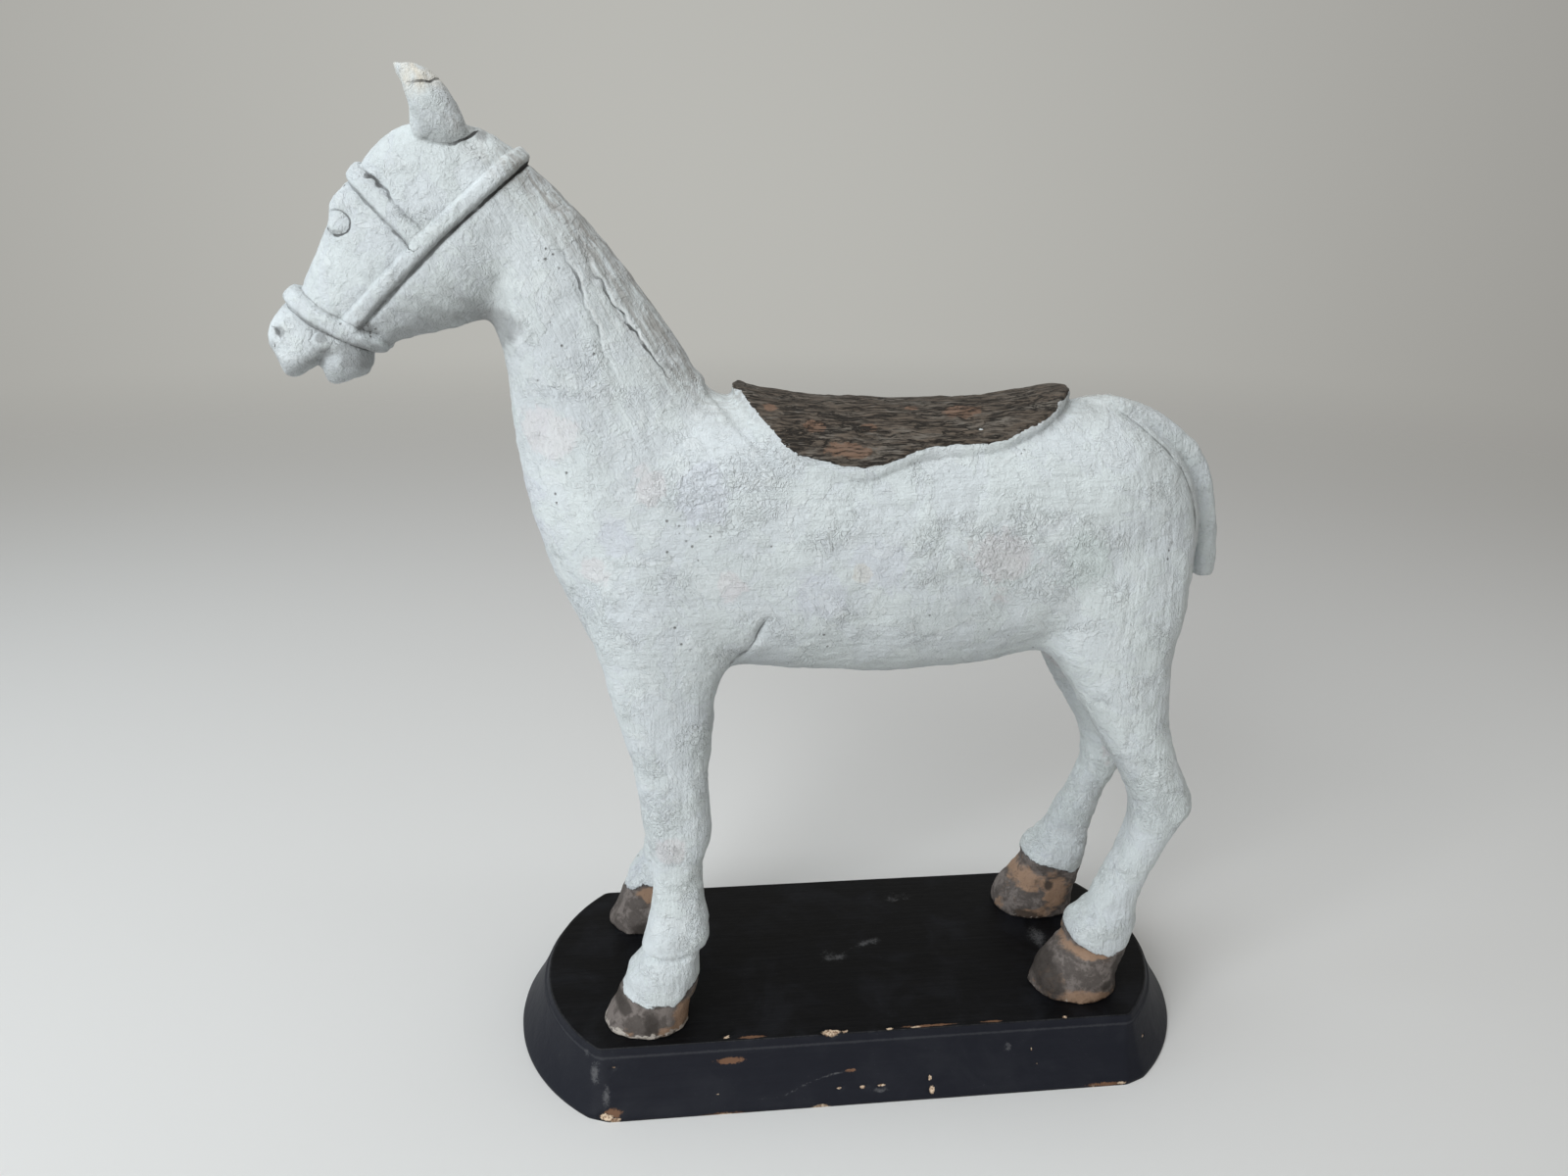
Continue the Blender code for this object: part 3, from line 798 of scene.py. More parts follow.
@dataclass(frozen=True)
class AgedWhitePaint:
    """Thick chalky white brushed on by hand, greyed, pitted and cracked."""

    cool: Colour = (0.73, 0.785, 0.785)
    grey: Colour = (0.62, 0.665, 0.675)
    chalk: Colour = (0.81, 0.845, 0.84)
    pink: Colour = (0.75, 0.67, 0.68)
    lilac: Colour = (0.63, 0.65, 0.74)
    yellow: Colour = (0.76, 0.70, 0.58)
    mint: Colour = (0.66, 0.76, 0.73)
    cream: Colour = (0.76, 0.71, 0.61)
    # Dark grey for the pits and specks, and for painted shade in the hollows
    grime_and_hollow_shade: Colour = (0.20, 0.20, 0.19)
    # Grey-black for painted shade under the jaw, at the throat and under the belly
    painted_shade: Colour = (0.235, 0.24, 0.24)
    # Warm grey for the crest of the neck, also painted shade on the back of the ear
    crest_grey_and_ear_shade: Colour = (0.42, 0.415, 0.395)
    # Dark of the seams: dirt in the cracks, painted shadow in the grooves by the headpiece, elbow and tail
    seam: Colour = (0.035, 0.034, 0.032)
    roughness: float = 0.62
    tints: tuple[str, ...] = ("lilac", "pink", "yellow", "mint")

    def brushing(self, tree: ShaderTree) -> Wire:
        """Fine ridges left by the brush, level on the body, slanting on the neck and upright on the legs.

        Args:
            tree: the material's nodes.

        Returns:
            Their height, about 0.5 on the mean.
        """
        body = tree.noise(560, 3, 0.6, 0.25, tree.stretched((0.10, 1, 1)))
        neck = tree.noise(560, 3, 0.6, 0.25, tree.stretched((0.10, 1, 1), (0, -1.10, 0)))
        legs = tree.noise(560, 3, 0.6, 0.25, tree.stretched((1, 1, 0.10)))
        on_neck, on_legs = tree.field("neck_strokes"), tree.field("upright_strokes")
        return body * (1 - on_neck) * (1 - on_legs) + neck * on_neck + legs * on_legs

    def wrinkles(self, tree: ShaderTree) -> Wire:
        """Winding ridges of thick paint, where two warped noises pass their mean.

        Args:
            tree: the material's nodes.

        Returns:
            Their height, 0 between them.
        """
        wide = (tree.noise(150, 2, 0.5, 1.6) - 0.5).size().rise(0.10, 0.0)
        narrow = (tree.noise(340, 2, 0.5, 1.2) - 0.5).size().rise(0.09, 0.0)
        return wide * 0.5 + narrow * 0.7

    def layer(self, tree: ShaderTree) -> Layer:
        """The paint over the whole horse.

        Args:
            tree: the material's nodes.

        Returns:
            Its colour, roughness and height.
        """
        broad = tree.noise(16, 4, 0.55)
        mottle = tree.noise(120, 5, 0.62, 0.6)
        patchy = tree.noise(75, 5, 0.66, 0.7)
        coat = tree.noise(52, 5, 0.62, 0.5).rise(0.485, 0.515)
        dab = tree.noise(95, 5, 0.64, 0.7).rise(0.54, 0.565)
        calm = tree.field("calm")
        mid = tree.noise(270, 4, 0.66, 0.5)
        strokes = self.brushing(tree) * (1 - calm) + mid * calm
        rough = tree.field("crinkled")
        wrinkles = self.wrinkles(tree) * rough
        colour = tree.mix(broad.rise(0.38, 0.66) * 0.8, self.cool, self.grey)
        colour = tree.mix((1 - coat) * 0.16, colour, self.lilac)
        for name in self.tints:
            share = (tree.field(name) + (patchy - 0.5) * 1.7).rise(0.42, 0.66)
            colour = tree.mix(share * 0.36, colour, getattr(self, name))
        colour = tree.mix(mottle.rise(0.5, 0.72) * 0.30, colour, self.grey)
        colour = tree.mix(dab * 0.20 + wrinkles * 0.15, colour, self.chalk)
        colour = tree.mix(strokes.rise(0.42, 0.25) * 0.40, colour, self.grey)
        # Painted shade on the faces that turn down: under the jaw and throat, and a little under the belly
        colour = tree.mix(tree.field("painted_underside_shade") * (mottle * 0.5 + 0.5), colour, self.painted_shade)
        # Patches of painted shade at the throat, on the jaw and muzzle, and by the ear
        patch_shade = (tree.field("painted_shade_patches") + (patchy - 0.5) * 1.7).rise(0.35, 0.75)
        colour = tree.mix(patch_shade * 0.6, colour, self.painted_shade)
        # Greyer along the crest of the neck, and painted shade on the back of the ear
        crest_grey_and_ear_shade_share = tree.field("crest") * (strokes.rise(0.64, 0.36) * 0.85 + 0.12)
        colour = tree.mix(crest_grey_and_ear_shade_share, colour, self.crest_grey_and_ear_shade)
        colour = tree.mix(tree.field("cream") * mottle.rise(0.3, 0.7), colour, self.cream)
        # Painted shade in the hollows, where the skin curves in
        colour = tree.mix(tree.field("hollow") * mottle.rise(0.3, 0.65) * 0.75, colour, self.grime_and_hollow_shade)

        distance, chance = tree.cells(420)
        pits = distance.rise(0.30, 0.12) * (tree.field("pitted") - chance).rise(0.0, 0.02)
        fleck = tree.noise(900, 4, 0.7).rise(0.67, 0.73) * tree.noise(60, 2).rise(0.52, 0.64)
        colour = tree.mix(pits * 0.85, colour, self.grime_and_hollow_shade)
        colour = tree.mix(fleck * 0.35, colour, self.grime_and_hollow_shade)

        edge = (tree.noise(700, 3, 0.7) - 0.5) * 0.9
        width, ink = tree.field("seam_width"), tree.field("seam_ink")
        across = tree.field("seam")
        reach = (across.size() + edge * 0.5) / (width + 0.02)
        dark = reach.rise(1.15, 0.6) * width.rise(0.04, 0.14) * ink
        flaked = (across + edge).rise(0.5, 1.0) * (across + edge).rise(2.4, 1.4) * tree.field("seam_lip")
        colour = tree.mix(flaked * 0.8, colour, self.chalk)
        # Dark lines in the seams: dirt in the cracks, and painted shadow in the grooves by the headpiece,
        # elbow and tail
        colour = tree.mix(dark * 0.93, colour, self.seam)

        height = strokes * 0.75 + mottle * 0.52 + tree.noise(1500, 2, 0.5) * 0.13
        height = height + mid * (rough * 0.6 + 0.50) + coat * 0.15 + dab * 0.15 + wrinkles * 0.42
        height = height - pits * 0.45 - dark * 0.30 - fleck * 0.08
        return Layer(colour, tree.noise(200, 3).rise(0.2, 0.8) * 0.16 + (self.roughness - 0.08), height)


@dataclass(frozen=True)
class WeatheredSaddle:
    """Bare saddle wood, dark and grey with weather, its grain raised along the horse's back."""

    dark: Colour = (0.030, 0.025, 0.020)
    brown: Colour = (0.142, 0.112, 0.086)
    grey: Colour = (0.202, 0.187, 0.162)
    rust: Colour = (0.27, 0.155, 0.10)
    roughness: float = 0.78

    def layer(self, tree: ShaderTree) -> Layer:
        """The bare wood of the seat.

        Args:
            tree: the material's nodes.

        Returns:
            Its colour, roughness and height.
        """
        grain = tree.noise(1250, 5, 0.7, 0.4, tree.stretched((0.13, 1, 0.8)))
        bands = tree.noise(210, 5, 0.66, 0.9, tree.stretched((0.22, 1, 0.8)))
        patch = tree.noise(70, 4, 0.6, 0.4)
        splits = (tree.noise(420, 4, 0.6, 0.6, tree.stretched((0.12, 1, 0.8))) - 0.5).size()
        split = splits.rise(0.040, 0.010) * patch.rise(0.32, 0.48)
        colour = tree.mix(grain.rise(0.34, 0.60), self.dark, self.brown)
        colour = tree.mix(bands.rise(0.46, 0.64) * grain.rise(0.35, 0.6) * 0.75, colour, self.grey)
        ragged = (tree.noise(300, 4, 0.65) - 0.5) * 0.9 + (patch - 0.5) * 0.6
        rust = (tree.field("rust") + ragged).rise(0.42, 0.58) * grain.rise(0.28, 0.5)
        colour = tree.mix(rust * 0.6, colour, self.rust)
        colour = tree.mix(split, colour, self.dark)
        height = grain * 0.50 + bands * 0.35 - split * 0.7
        return Layer(colour, grain * 0.15 + (self.roughness - 0.07), height)


@dataclass(frozen=True)
class BareHoof:
    """Bare hooves: grey-violet wood, stained nearly black and worn back to tan in places."""

    violet: Colour = (0.208, 0.180, 0.165)
    dark: Colour = (0.045, 0.037, 0.032)
    tan: Colour = (0.40, 0.255, 0.165)
    worn: Colour = (0.66, 0.60, 0.53)
    roughness: float = 0.7

    def layer(self, tree: ShaderTree) -> Layer:
        """The bare wood of the hooves.

        Args:
            tree: the material's nodes.

        Returns:
            Its colour, roughness and height.
        """
        patch = tree.noise(110, 5, 0.62, 0.5)
        other = tree.noise(150, 5, 0.62, 0.5, tree.stretched((0.9, 1, 1.6), (0.4, 0, 0)))
        fine = tree.noise(560, 5, 0.65)
        colour = tree.mix((patch - fine * 0.4).rise(0.24, 0.40) * 0.6 + 0.4, self.dark, self.violet)
        tan = (tree.field("hoof_tan") + (other - 0.5) * 1.5).rise(0.35, 0.72)
        colour = tree.mix(tan * 0.8, colour, self.tan)
        dark = (tree.field("hoof_dark") + (patch - 0.5) * 1.4).rise(0.38, 0.75)
        colour = tree.mix(dark * 0.85, colour, self.dark)
        rim = (tree.field("hoof_rim") + (fine - 0.5) * 1.6 + (patch - 0.5) * 1.6).rise(0.62, 0.85)
        colour = tree.mix(rim * 0.85, colour, self.worn)
        colour = tree.mix(fine.rise(0.52, 0.72) * 0.3, colour, self.dark)
        return Layer(colour, fine * 0.2 + (self.roughness - 0.1), fine * 0.45 + patch * 0.35)


@dataclass(frozen=True)
class BlackPaint:
    """Blue-black paint brushed along the plinth, with grey scuffs, and chipped to the wood on its arrises.
    """

    # One paint, given a darker colour on the top and a lighter, bluer one on the wall: painted reflection
    top: Colour = (0.0022, 0.0023, 0.0030)
    wall: Colour = (0.0145, 0.0157, 0.0222)
    soft: Colour = (0.023, 0.0245, 0.031)
    # Grey of the scuffs, dust and arrises, also painted sheen at the front left corner
    scuff_and_sheen_grey: Colour = (0.19, 0.19, 0.195)
    wood: Colour = (0.80, 0.63, 0.46)
    brown: Colour = (0.22, 0.115, 0.066)
    roughness: float = 0.5

    def layer(self, tree: ShaderTree) -> Layer:
        """The paint, with the wood where it is chipped.

        Args:
            tree: the material's nodes.

        Returns:
            Its colour, roughness and height.
        """
        strokes = tree.noise(500, 4, 0.6, 0.1, tree.stretched((0.05, 1, 0.8)))
        cloud = tree.noise(38, 5, 0.6, 0.5)
        fine = tree.noise(800, 4, 0.7)
        ragged = (tree.noise(1500, 3, 0.7) - 0.5) * 1.1 + (tree.noise(330, 4, 0.65) - 0.5) * 1.1
        # Darker on the top, lighter and bluer on the wall: painted reflection
        top = tree.field("painted_dark_top")
        colour = tree.mix(top, self.wall, self.top)
        hazy = cloud.rise(0.45, 0.7) * 0.55 + strokes.rise(0.45, 0.7) * 0.15
        colour = tree.mix(hazy * (1 - top * 0.5), colour, self.soft)
        # Grey scuffs, which at the front left corner are partly painted sheen
        scuff_and_sheen = (tree.field("scuff_and_sheen") + ragged * 0.9).rise(0.45, 1.0)
        colour = tree.mix(scuff_and_sheen * 0.5, colour, self.scuff_and_sheen_grey)
        arris = (tree.field("arris") + ragged * 0.8).rise(0.55, 1.0)
        colour = tree.mix(arris * 0.12, colour, self.scuff_and_sheen_grey)
        dust = tree.noise(1300, 3, 0.7).rise(0.68, 0.76) * cloud.rise(0.42, 0.6)
        colour = tree.mix(dust * 0.4, colour, self.scuff_and_sheen_grey)
        worn = (tree.field("worn") + ragged * 0.8).rise(0.22, 0.45)
        colour = tree.mix(worn * 0.85, colour, self.brown)
        bare = (tree.field("bare") + ragged * 0.6).rise(0.12, 0.26)
        colour = tree.mix(bare, colour, tree.mix(fine.rise(0.35, 0.6), self.brown, self.wood))
        height = strokes * 0.12 + fine * 0.05 + tree.noise(180, 3) * 0.15 - bare * 0.35 - worn * 0.1
        rough = cloud * 0.16 + (self.roughness - 0.08) + bare * 0.3 + scuff_and_sheen * 0.15
        return Layer(colour, rough, height)


@dataclass
class CarvedHorse:
    """The horse, carved from one piece of wood with its saddle, bridle, tail and hooves."""

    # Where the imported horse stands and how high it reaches, in metres
    stand: float
    top: float
    # Fineness of the skin
    ring_points: int = 64
    ring_step: float = 2.0
    blend_voxel: float = 1.6
    carve_voxel: float = 0.85
    triangles: int = 188000
    sole_gap: float = 0.3
    # Turns of rubbing: the blended body, the hollow before the shoulder, the whole skin
    body_turns: int = 85
    shoulder_turns: int = 225
    skin_turns: int = 9
    # How square the sections are, 2 being an ellipse
    trunk_squareness: float = 2.25
    neck_squareness: float = 2.1
    leg_squareness: float = 2.4
    hoof_squareness: float = 2.2
    ear_squareness: float = 2.2
    tail_squareness: float = 2.8
    # The trunk, cut across X: x, underside z, top z, half width, height of the widest place
    trunk_rows: Table = (
        (-127, 190, 224, 14, 208),
        (-119, 172, 238, 27, 207),
        (-106, 161, 252, 35, 206),
        (-86, 159, 266, 39, 206),
        (-60, 159, 274, 41.5, 206),
        (-30, 157, 268, 43, 205),
        (10, 154.5, 266, 44, 204),
        (45, 156.5, 267, 43, 206),
        (70, 161, 269.5, 41.5, 210),
        (95, 171, 271.5, 40, 215),
        (112, 180, 266, 37.5, 218),
        (126, 185, 256, 33, 218),
        (136, 191, 246, 26, 216),
        (142, 199, 235, 17, 214),
        (145.5, 207, 226, 8, 214),
    )
    # The neck, cut level: z, front x, crest x, half width, how much narrower the crest is than the front
    neck_rows: Table = (
        (164, -109, -70, 22, 0.10),
        (182, -121.5, -52, 34, 0.10),
        (204, -133.5, -40, 38, 0.10),
        (225, -140, -38, 37.5, 0.14),
        (243, -144, -44, 35, 0.20),
        (260, -145.5, -54, 31.5, 0.28),
        (275, -146.5, -64, 28, 0.36),
        (290, -148, -74, 24.5, 0.42),
        (304, -151, -83.3, 22, 0.44),
        (318, -153, -93, 20, 0.42),
        (334, -155, -105.2, 18, 0.38),
        (350, -160, -120.5, 15.5, 0.35),
        (362, -160, -133, 11.5, 0.30),
        (368.5, -154, -141, 6, 0.30),
    )
    # The head, cut across its axis: distance from its start, jaw side, face side, half width, squareness
    head_start: tuple[float, float] = (-150.0, 339.5)
    head_along: tuple[float, float] = (-0.780, -0.626)
    face_narrowing: float = 0.25
    head_rows: Table = (
        (-27, 2, 12, 5, 2.3),
        (-24, -3, 22, 10, 2.3),
        (-16, -10, 34, 15, 2.3),
        (-4, -18, 43, 18.5, 2.3),
        (10, -24, 46.5, 20.5, 2.3),
        (24, -24.5, 44.5, 21, 2.3),
        (33, -21.5, 41.5, 20.5, 2.3),
        (43, -16.5, 38, 19, 2.3),
        (53, -11.5, 34, 16.5, 2.3),
        (62, -7.5, 30, 14.5, 2.4),
        (71, -3.5, 26.8, 13.8, 2.6),
        (79, 1.6, 25.8, 14.4, 2.9),
        (85.5, 2.4, 24.5, 14.8, 3.1),
        (89.5, 2.8, 22.4, 14.4, 3.2),
        (92.5, 3.1, 18.8, 13, 3.2),
        (94.6, 3.5, 13, 11, 3.0),
        (95.8, 4.2, 9, 8.5, 2.8),
    )
    jaw_rows: Table = (
        (50, -11.2, 6, 10, 2.2),
        (57, -8.4, 6, 9.6, 2.2),
        (64, -6.2, 5.5, 9.8, 2.4),
        (69, -9.8, 5, 10.4, 2.6),
        (73.5, -12.2, 4.6, 10.6, 2.8),
        (79, -10.6, 3.4, 9.8, 2.8),
        (83.5, -8.6, 1.2, 7.8, 2.7),
        (86.2, -7.8, -2.6, 5.4, 2.6),
        (87.2, -7.2, -4.6, 3.8, 2.4),
    )
    # Legs, cut level: z, front x, back x, inner y, outer y
    fore_leg: Table = (
        (32, -100, -75, 25, 50),
        (37, -99, -74, 25.5, 48),
        (45, -98.5, -71, 24, 48),
        (55, -96, -71.5, 24, 46.5),
        (66, -95, -72.5, 24, 45.5),
        (79, -95, -72, 22.5, 45.5),
        (90, -97, -69, 20.5, 46),
        (100, -98.5, -69.5, 19.5, 46),
        (118, -101, -70, 18, 45),
        (136, -105.5, -68, 15.5, 44.5),
        (154, -110.5, -66, 11.5, 44),
        (164, -113, -63, 8, 43.5),
        (174, -115.5, -58, 5, 43),
        (190, -118, -56, 4, 42),
        (212, -116, -62, 6, 39),
        (232, -108, -72, 10, 33),
    )
    hind_leg: Table = (
        (36, 99.5, 126.5, 21, 45),
        (43, 104, 127, 22.5, 44),
        (50, 106.5, 128.5, 22, 43),
        (60, 111.5, 131.5, 22, 42.5),
        (72, 117, 135.5, 21.5, 42.5),
        (84, 120.5, 141.5, 19.5, 43),
        (93, 120, 147.5, 18.5, 43.5),
        (99, 118.5, 147, 17.5, 43.5),
        (108, 114.5, 143, 16, 43.5),
        (122, 105.5, 136.5, 14, 43),
        (140, 95, 132.5, 10, 43),
        (158, 84, 132, 6, 43),
        (171, 74, 133.5, 4, 42.5),
        (190, 72, 136.5, 4, 42),
        (210, 76, 137.5, 5, 40),
        (232, 86, 134, 8, 34),
    )
    fore_pastern: Table = (
        (14, -106, -77, 23, 51),
        (19, -108, -76, 22, 53),
        (25, -107, -75.5, 22, 53),
        (31, -103, -75.5, 23, 52),
        (36, -99, -75, 25, 50),
    )
    hind_pastern: Table = (
        (16, 98, 124, 18, 46),
        (22, 96.5, 125, 17.5, 47),
        (30, 94.5, 126.5, 17, 47.5),
        (36, 96, 127.5, 18.5, 46.5),
        (42, 103, 127, 21, 45),
    )
    fore_hoof: Table = (
        (-2, -118, -80, 19.5, 55),
        (8, -114, -79.5, 21, 54),
        (20, -108, -78, 23, 52),
        (24, -103, -80, 25, 50),
    )
    hind_hoof: Table = (
        (-2, 80.5, 122, 15, 50),
        (8, 82.5, 122.5, 15.5, 49.5),
        (20, 90, 123.5, 17.5, 47.5),
        (28, 98, 123.5, 20, 45),
    )
    # The ears: height, middle x, half length along X, half width, distance out from the centre plane
    far_ear_lean: float = -3.8
    ear_rows: Table = (
        (358, -160, 9, 4, 5),
        (366, -162.5, 10.5, 4.6, 6.6),
        (374, -164.5, 9.6, 5.4, 8.6),
        (381, -165.8, 8.3, 5.4, 10),
        (388, -168.5, 7.4, 4.8, 11),
        (392, -171, 6.4, 4.0, 11.4),
        (394.5, -173.8, 4.0, 2.4, 11.6),
    )
    # The tail's middle line down the rump: x, z, half width, half thickness
    tail_rows: Table = (
        (88, 268, 6.5, 3.5),
        (101, 268.6, 8, 4.5),
        (114.5, 265, 8.5, 5),
        (123, 261.2, 8.5, 5.2),
        (132.2, 254.4, 8, 5.2),
        (140, 247.2, 7.8, 5.2),
        (145.4, 236.7, 7.4, 5.2),
        (149.6, 221.8, 7, 5.1),
        (152.6, 205.5, 6.6, 4.9),
        (153.2, 196, 6.4, 4.8),
        (153, 193, 5.8, 4.3),
    )
    # The saddle, cut across X: x, height of its top, spread of the bare seat, width of the rim outside it
    saddle_skin: float = 5.5
    flap_skin: float = 2.6
    flap_at: float = 36.0
    # Lower than any part of the saddle
    saddle_foot: float = 225.0
    # How far outside the bare seat its flaps' groove lies, and the pommel's groove and roll
    flap_groove: float = 3.7
    pommel_groove: float = 9.5
    pommel_roll: float = 12.5
    saddle_rows: Table = (
        (-58, 279.5, 4, 4.5),
        (-55, 279.8, 9, 5.5),
        (-51, 278.6, 18, 5.8),
        (-44, 277, 26, 5.2),
        (-38, 276.2, 30.4, 2.6),
        (-26, 274.8, 33.3, 0.9),
        (-8, 273.3, 34.6, 0.4),
        (4, 272.8, 32.7, 0.3),
        (19, 272.5, 29.3, 0.3),
        (38, 273, 28.3, 0.3),
        (49, 273.8, 27.4, 0.3),
        (58, 274.8, 24.9, 0.3),
        (66, 276, 22.3, 0.3),
        (74, 277.6, 17.5, 0.3),
        (79, 278.1, 11, 0.3),
        (82, 278, 6, 0.3),
        (83.5, 277.6, 3, 0.3),
    )
    # Rounded forms on both sides of the head: x, distance out, z, radius, proud
    head_forms: Table = (
        (-204, 9, 348.5, 6.5, 4.6),
        (-203.5, 10.5, 339.3, 4.6, 1.9),
        (-197, 13.5, 303.5, 2.4, 2.0),
        (-190, 6, 296.5, 4, 1.0),
        (-229, 10.5, 301, 1.6, -1.5),
        (-224.5, 13, 300.5, 1.2, -0.5),
        (-213, 12, 298, 3.2, 0.8),
        (-208, 13, 294, 4.5, 1.0),
    )
    # Places of the white paint's tints, in side view: x, z, radius
    pink_places: Table = (
        (-131, 265, 12), (-92, 245, 9), (-115, 211, 8), (-61, 207, 7), (48, 216, 15), (-87, 90, 8),
    )
    lilac_places: Table = (
        (-106, 225, 10), (-72, 243, 14), (-1, 216, 14), (-25, 201, 14), (-140, 240, 8), (-138, 222, 8),
    )
    yellow_places: Table = ((-9, 211, 5),)
    mint_places: Table = ((83, 212, 14), (-150, 268, 9))
    # Patches of painted shade at the throat, on the jaw and muzzle, and by the ear: x, z, radius
    painted_shade_places: Table = (
        (-201, 291, 7), (-197, 303.5, 3.5), (-213, 299, 3), (-228, 301, 2.5), (-149, 303, 10),
        (-150, 371, 3),
    )
    # Clusters of pits: x, z, radius, share of the cells that are pits
    pit_places: Table = (
        (-127, 331, 4, 0.5), (-123, 325, 2.5, 0.5), (-135, 327, 3, 0.4), (-128, 305, 2, 0.5),
        (-122, 298, 2, 0.5), (-113, 293, 2, 0.5), (-127, 248, 2.5, 0.5), (-131, 237, 3.5, 0.5),
        (-81, 226, 9, 0.22), (-100, 193, 3, 0.5), (-80, 186, 4, 0.5), (-82, 178, 4, 0.5), (57, 255, 2, 0.7),
        (58, 232, 2, 0.7), (16, 193, 4, 0.4), (-24, 183, 5, 0.4), (44, 181, 3, 0.5), (83, 186, 2, 0.6),
        (119, 215, 3.5, 0.5), (-208, 306, 3, 0.4), (-197, 303.5, 3.5, 0.7), (-190, 345, 14, 0.05),
    )
    # Wrinkled paint: x, z, reach along x and z
    wrinkle_places: Table = (
        (-21, 230, 18, 12), (18, 219, 18, 11), (48, 224, 22, 16), (83, 212, 18, 16), (-76, 135, 10, 22),
        (-77, 63, 9, 24), (-92, 100, 10, 34), (110, 110, 24, 34), (-60, 246, 24, 16), (-118, 200, 12, 20),
    )
    # Rust-brown on the seat: x, y, reach along x and y
    rust_places: Table = (
        (35, -15, 9.5, 5), (14, -12, 3, 2), (-27, -24, 5, 2.5), (-5, -23, 3.5, 2), (-13, -30.5, 12, 2.5),
        (-44, -17, 4, 3), (52, 12, 8, 4),
    )
    # White flecks left on the seat: x, y, z, radius
    seat_flecks: Table = ((40, -24.5, 265, 0.6), (42.5, -23.5, 266, 0.5), (76, -17, 272, 1.8))
    # Stains on the hooves: x, side, z, reach along x and z
    tan_stains: Table = (
        (-82, -1, 8, 7, 9), (-88, -1, 2, 8, 4), (102, -1, 2, 18, 5), (104, -1, 24, 14, 3.5),
        (96, 1, 20, 9, 6), (110, 1, 14, 9, 10), (-96, 1, 20, 8, 6), (100, 1, 3, 12, 4),
    )
    dark_stains: Table = (
        (-97, -1, 5, 5, 10), (-110, -1, 13, 5, 4), (87, -1, 9, 7, 12), (119, -1, 14, 5, 12),
        (105, 1, 19, 3.5, 4), (94, 1, 2, 7, 5), (-96, 1, 3, 14, 5), (112, -1, 8, 4, 3),
    )
    # Cuffs above the hooves: x, z, how proud they stand
    fetlock_cuffs: Table = ((-90, 37.5, 1.0), (112, 40.5, 0.4))
    # A dip under the near flank: x, z, reach along x and z, and depth
    flank_dip: tuple[float, ...] = (52, 194, 9, 6, 1.2)
    # Upper edge of the bare hoof at the outer and inner sides: x, z
    fore_coronet_out: Path = (
        (-112, 16.5), (-109, 17), (-103, 16), (-98, 15), (-94, 15.8), (-86, 14.5), (-81, 20), (-76, 23)
    )
    fore_coronet_in: Path = ((-110, 19.5), (-104, 23), (-100, 26.5), (-96, 26), (-84, 23))
    hind_coronet_out: Path = ((92, 32), (97, 28.5), (104, 26), (109, 24), (114, 23), (118, 25), (125, 25))
    hind_coronet_in: Path = ((92, 33), (98, 31), (103, 30), (109, 29), (116, 25), (125, 25))

    def trunk(self) -> bpy.types.Mesh:
        """The barrel: rings across X, tall above and below the widest height, half width to each side.

        Returns:
            The closed form.
        """
        x, rows = smooth_rows(self.trunk_rows, self.ring_step)
        under, top, half, wide = rows.T
        c, s = squared_circle(self.ring_points, self.trunk_squareness)
        reach = np.where(s > 0, (top - wide)[:, None], (wide - under)[:, None])
        across = np.broadcast_to(x[:, None], reach.shape)
        return lofted("trunk", np.stack([across, half[:, None] * c, wide[:, None] + reach * s], 2))

    def neck(self) -> bpy.types.Mesh:
        """The neck: level rings from front to crest, narrowed evenly towards the crest.

        Returns:
            The closed form.
        """
        z, rows = smooth_rows(self.neck_rows, self.ring_step)
        front, crest, half, crest_narrower = (column[:, None] for column in rows.T)
        c, s = squared_circle(self.ring_points, self.neck_squareness)
        x = (front + crest) / 2 + (crest - front) / 2 * c
        y = half * s * (1 - crest_narrower * (c + 1) / 2)
        return lofted("neck", np.stack([x, y, np.broadcast_to(z[:, None], x.shape)], 2))

    def head(self, name: str, table: Table, narrowing: float) -> bpy.types.Mesh:
        """A part of the head: rings square to the head's axis, from jaw side to face side.

        Args:
            name: the mesh's name.
            table: distance along the axis, jaw side, face side, half width and squareness.
            narrowing: how much narrower the face side is.

        Returns:
            The closed form.
        """
        along, rows = smooth_rows(table, self.ring_step / 1.5)
        jaw, face, half, squareness = (column[:, None] for column in rows.T)
        c, s = squared_circle(self.ring_points, squareness)
        up = (jaw + face) / 2 + (face - jaw) / 2 * c
        y = half * s * (1 - narrowing * (c + 1) / 2)
        way_x, way_z = self.head_along
        x = self.head_start[0] + along[:, None] * way_x + up * way_z
        z = self.head_start[1] + along[:, None] * way_z - up * way_x
        return lofted(name, np.stack([x, y, z], 2))

    def limb(self, name: str, side: Side) -> bpy.types.Mesh:
        """A limb: level rings between its front, back, inner and outer outlines.

        Args:
            name: the limb's table.
            side: near or far.

        Returns:
            The closed form.
        """
        z, rows = smooth_rows(getattr(self, name), self.ring_step)
        front, back, inner, outer = (column[:, None] for column in rows.T)
        squareness = self.hoof_squareness if name.endswith("hoof") else self.leg_squareness
        c, s = squared_circle(self.ring_points, squareness)
        x = (front + back) / 2 + (back - front) / 2 * c
        y = side.value * ((inner + outer) / 2 + (outer - inner) / 2 * s)
        return lofted(name, np.stack([x, y, np.broadcast_to(z[:, None], x.shape)], 2))

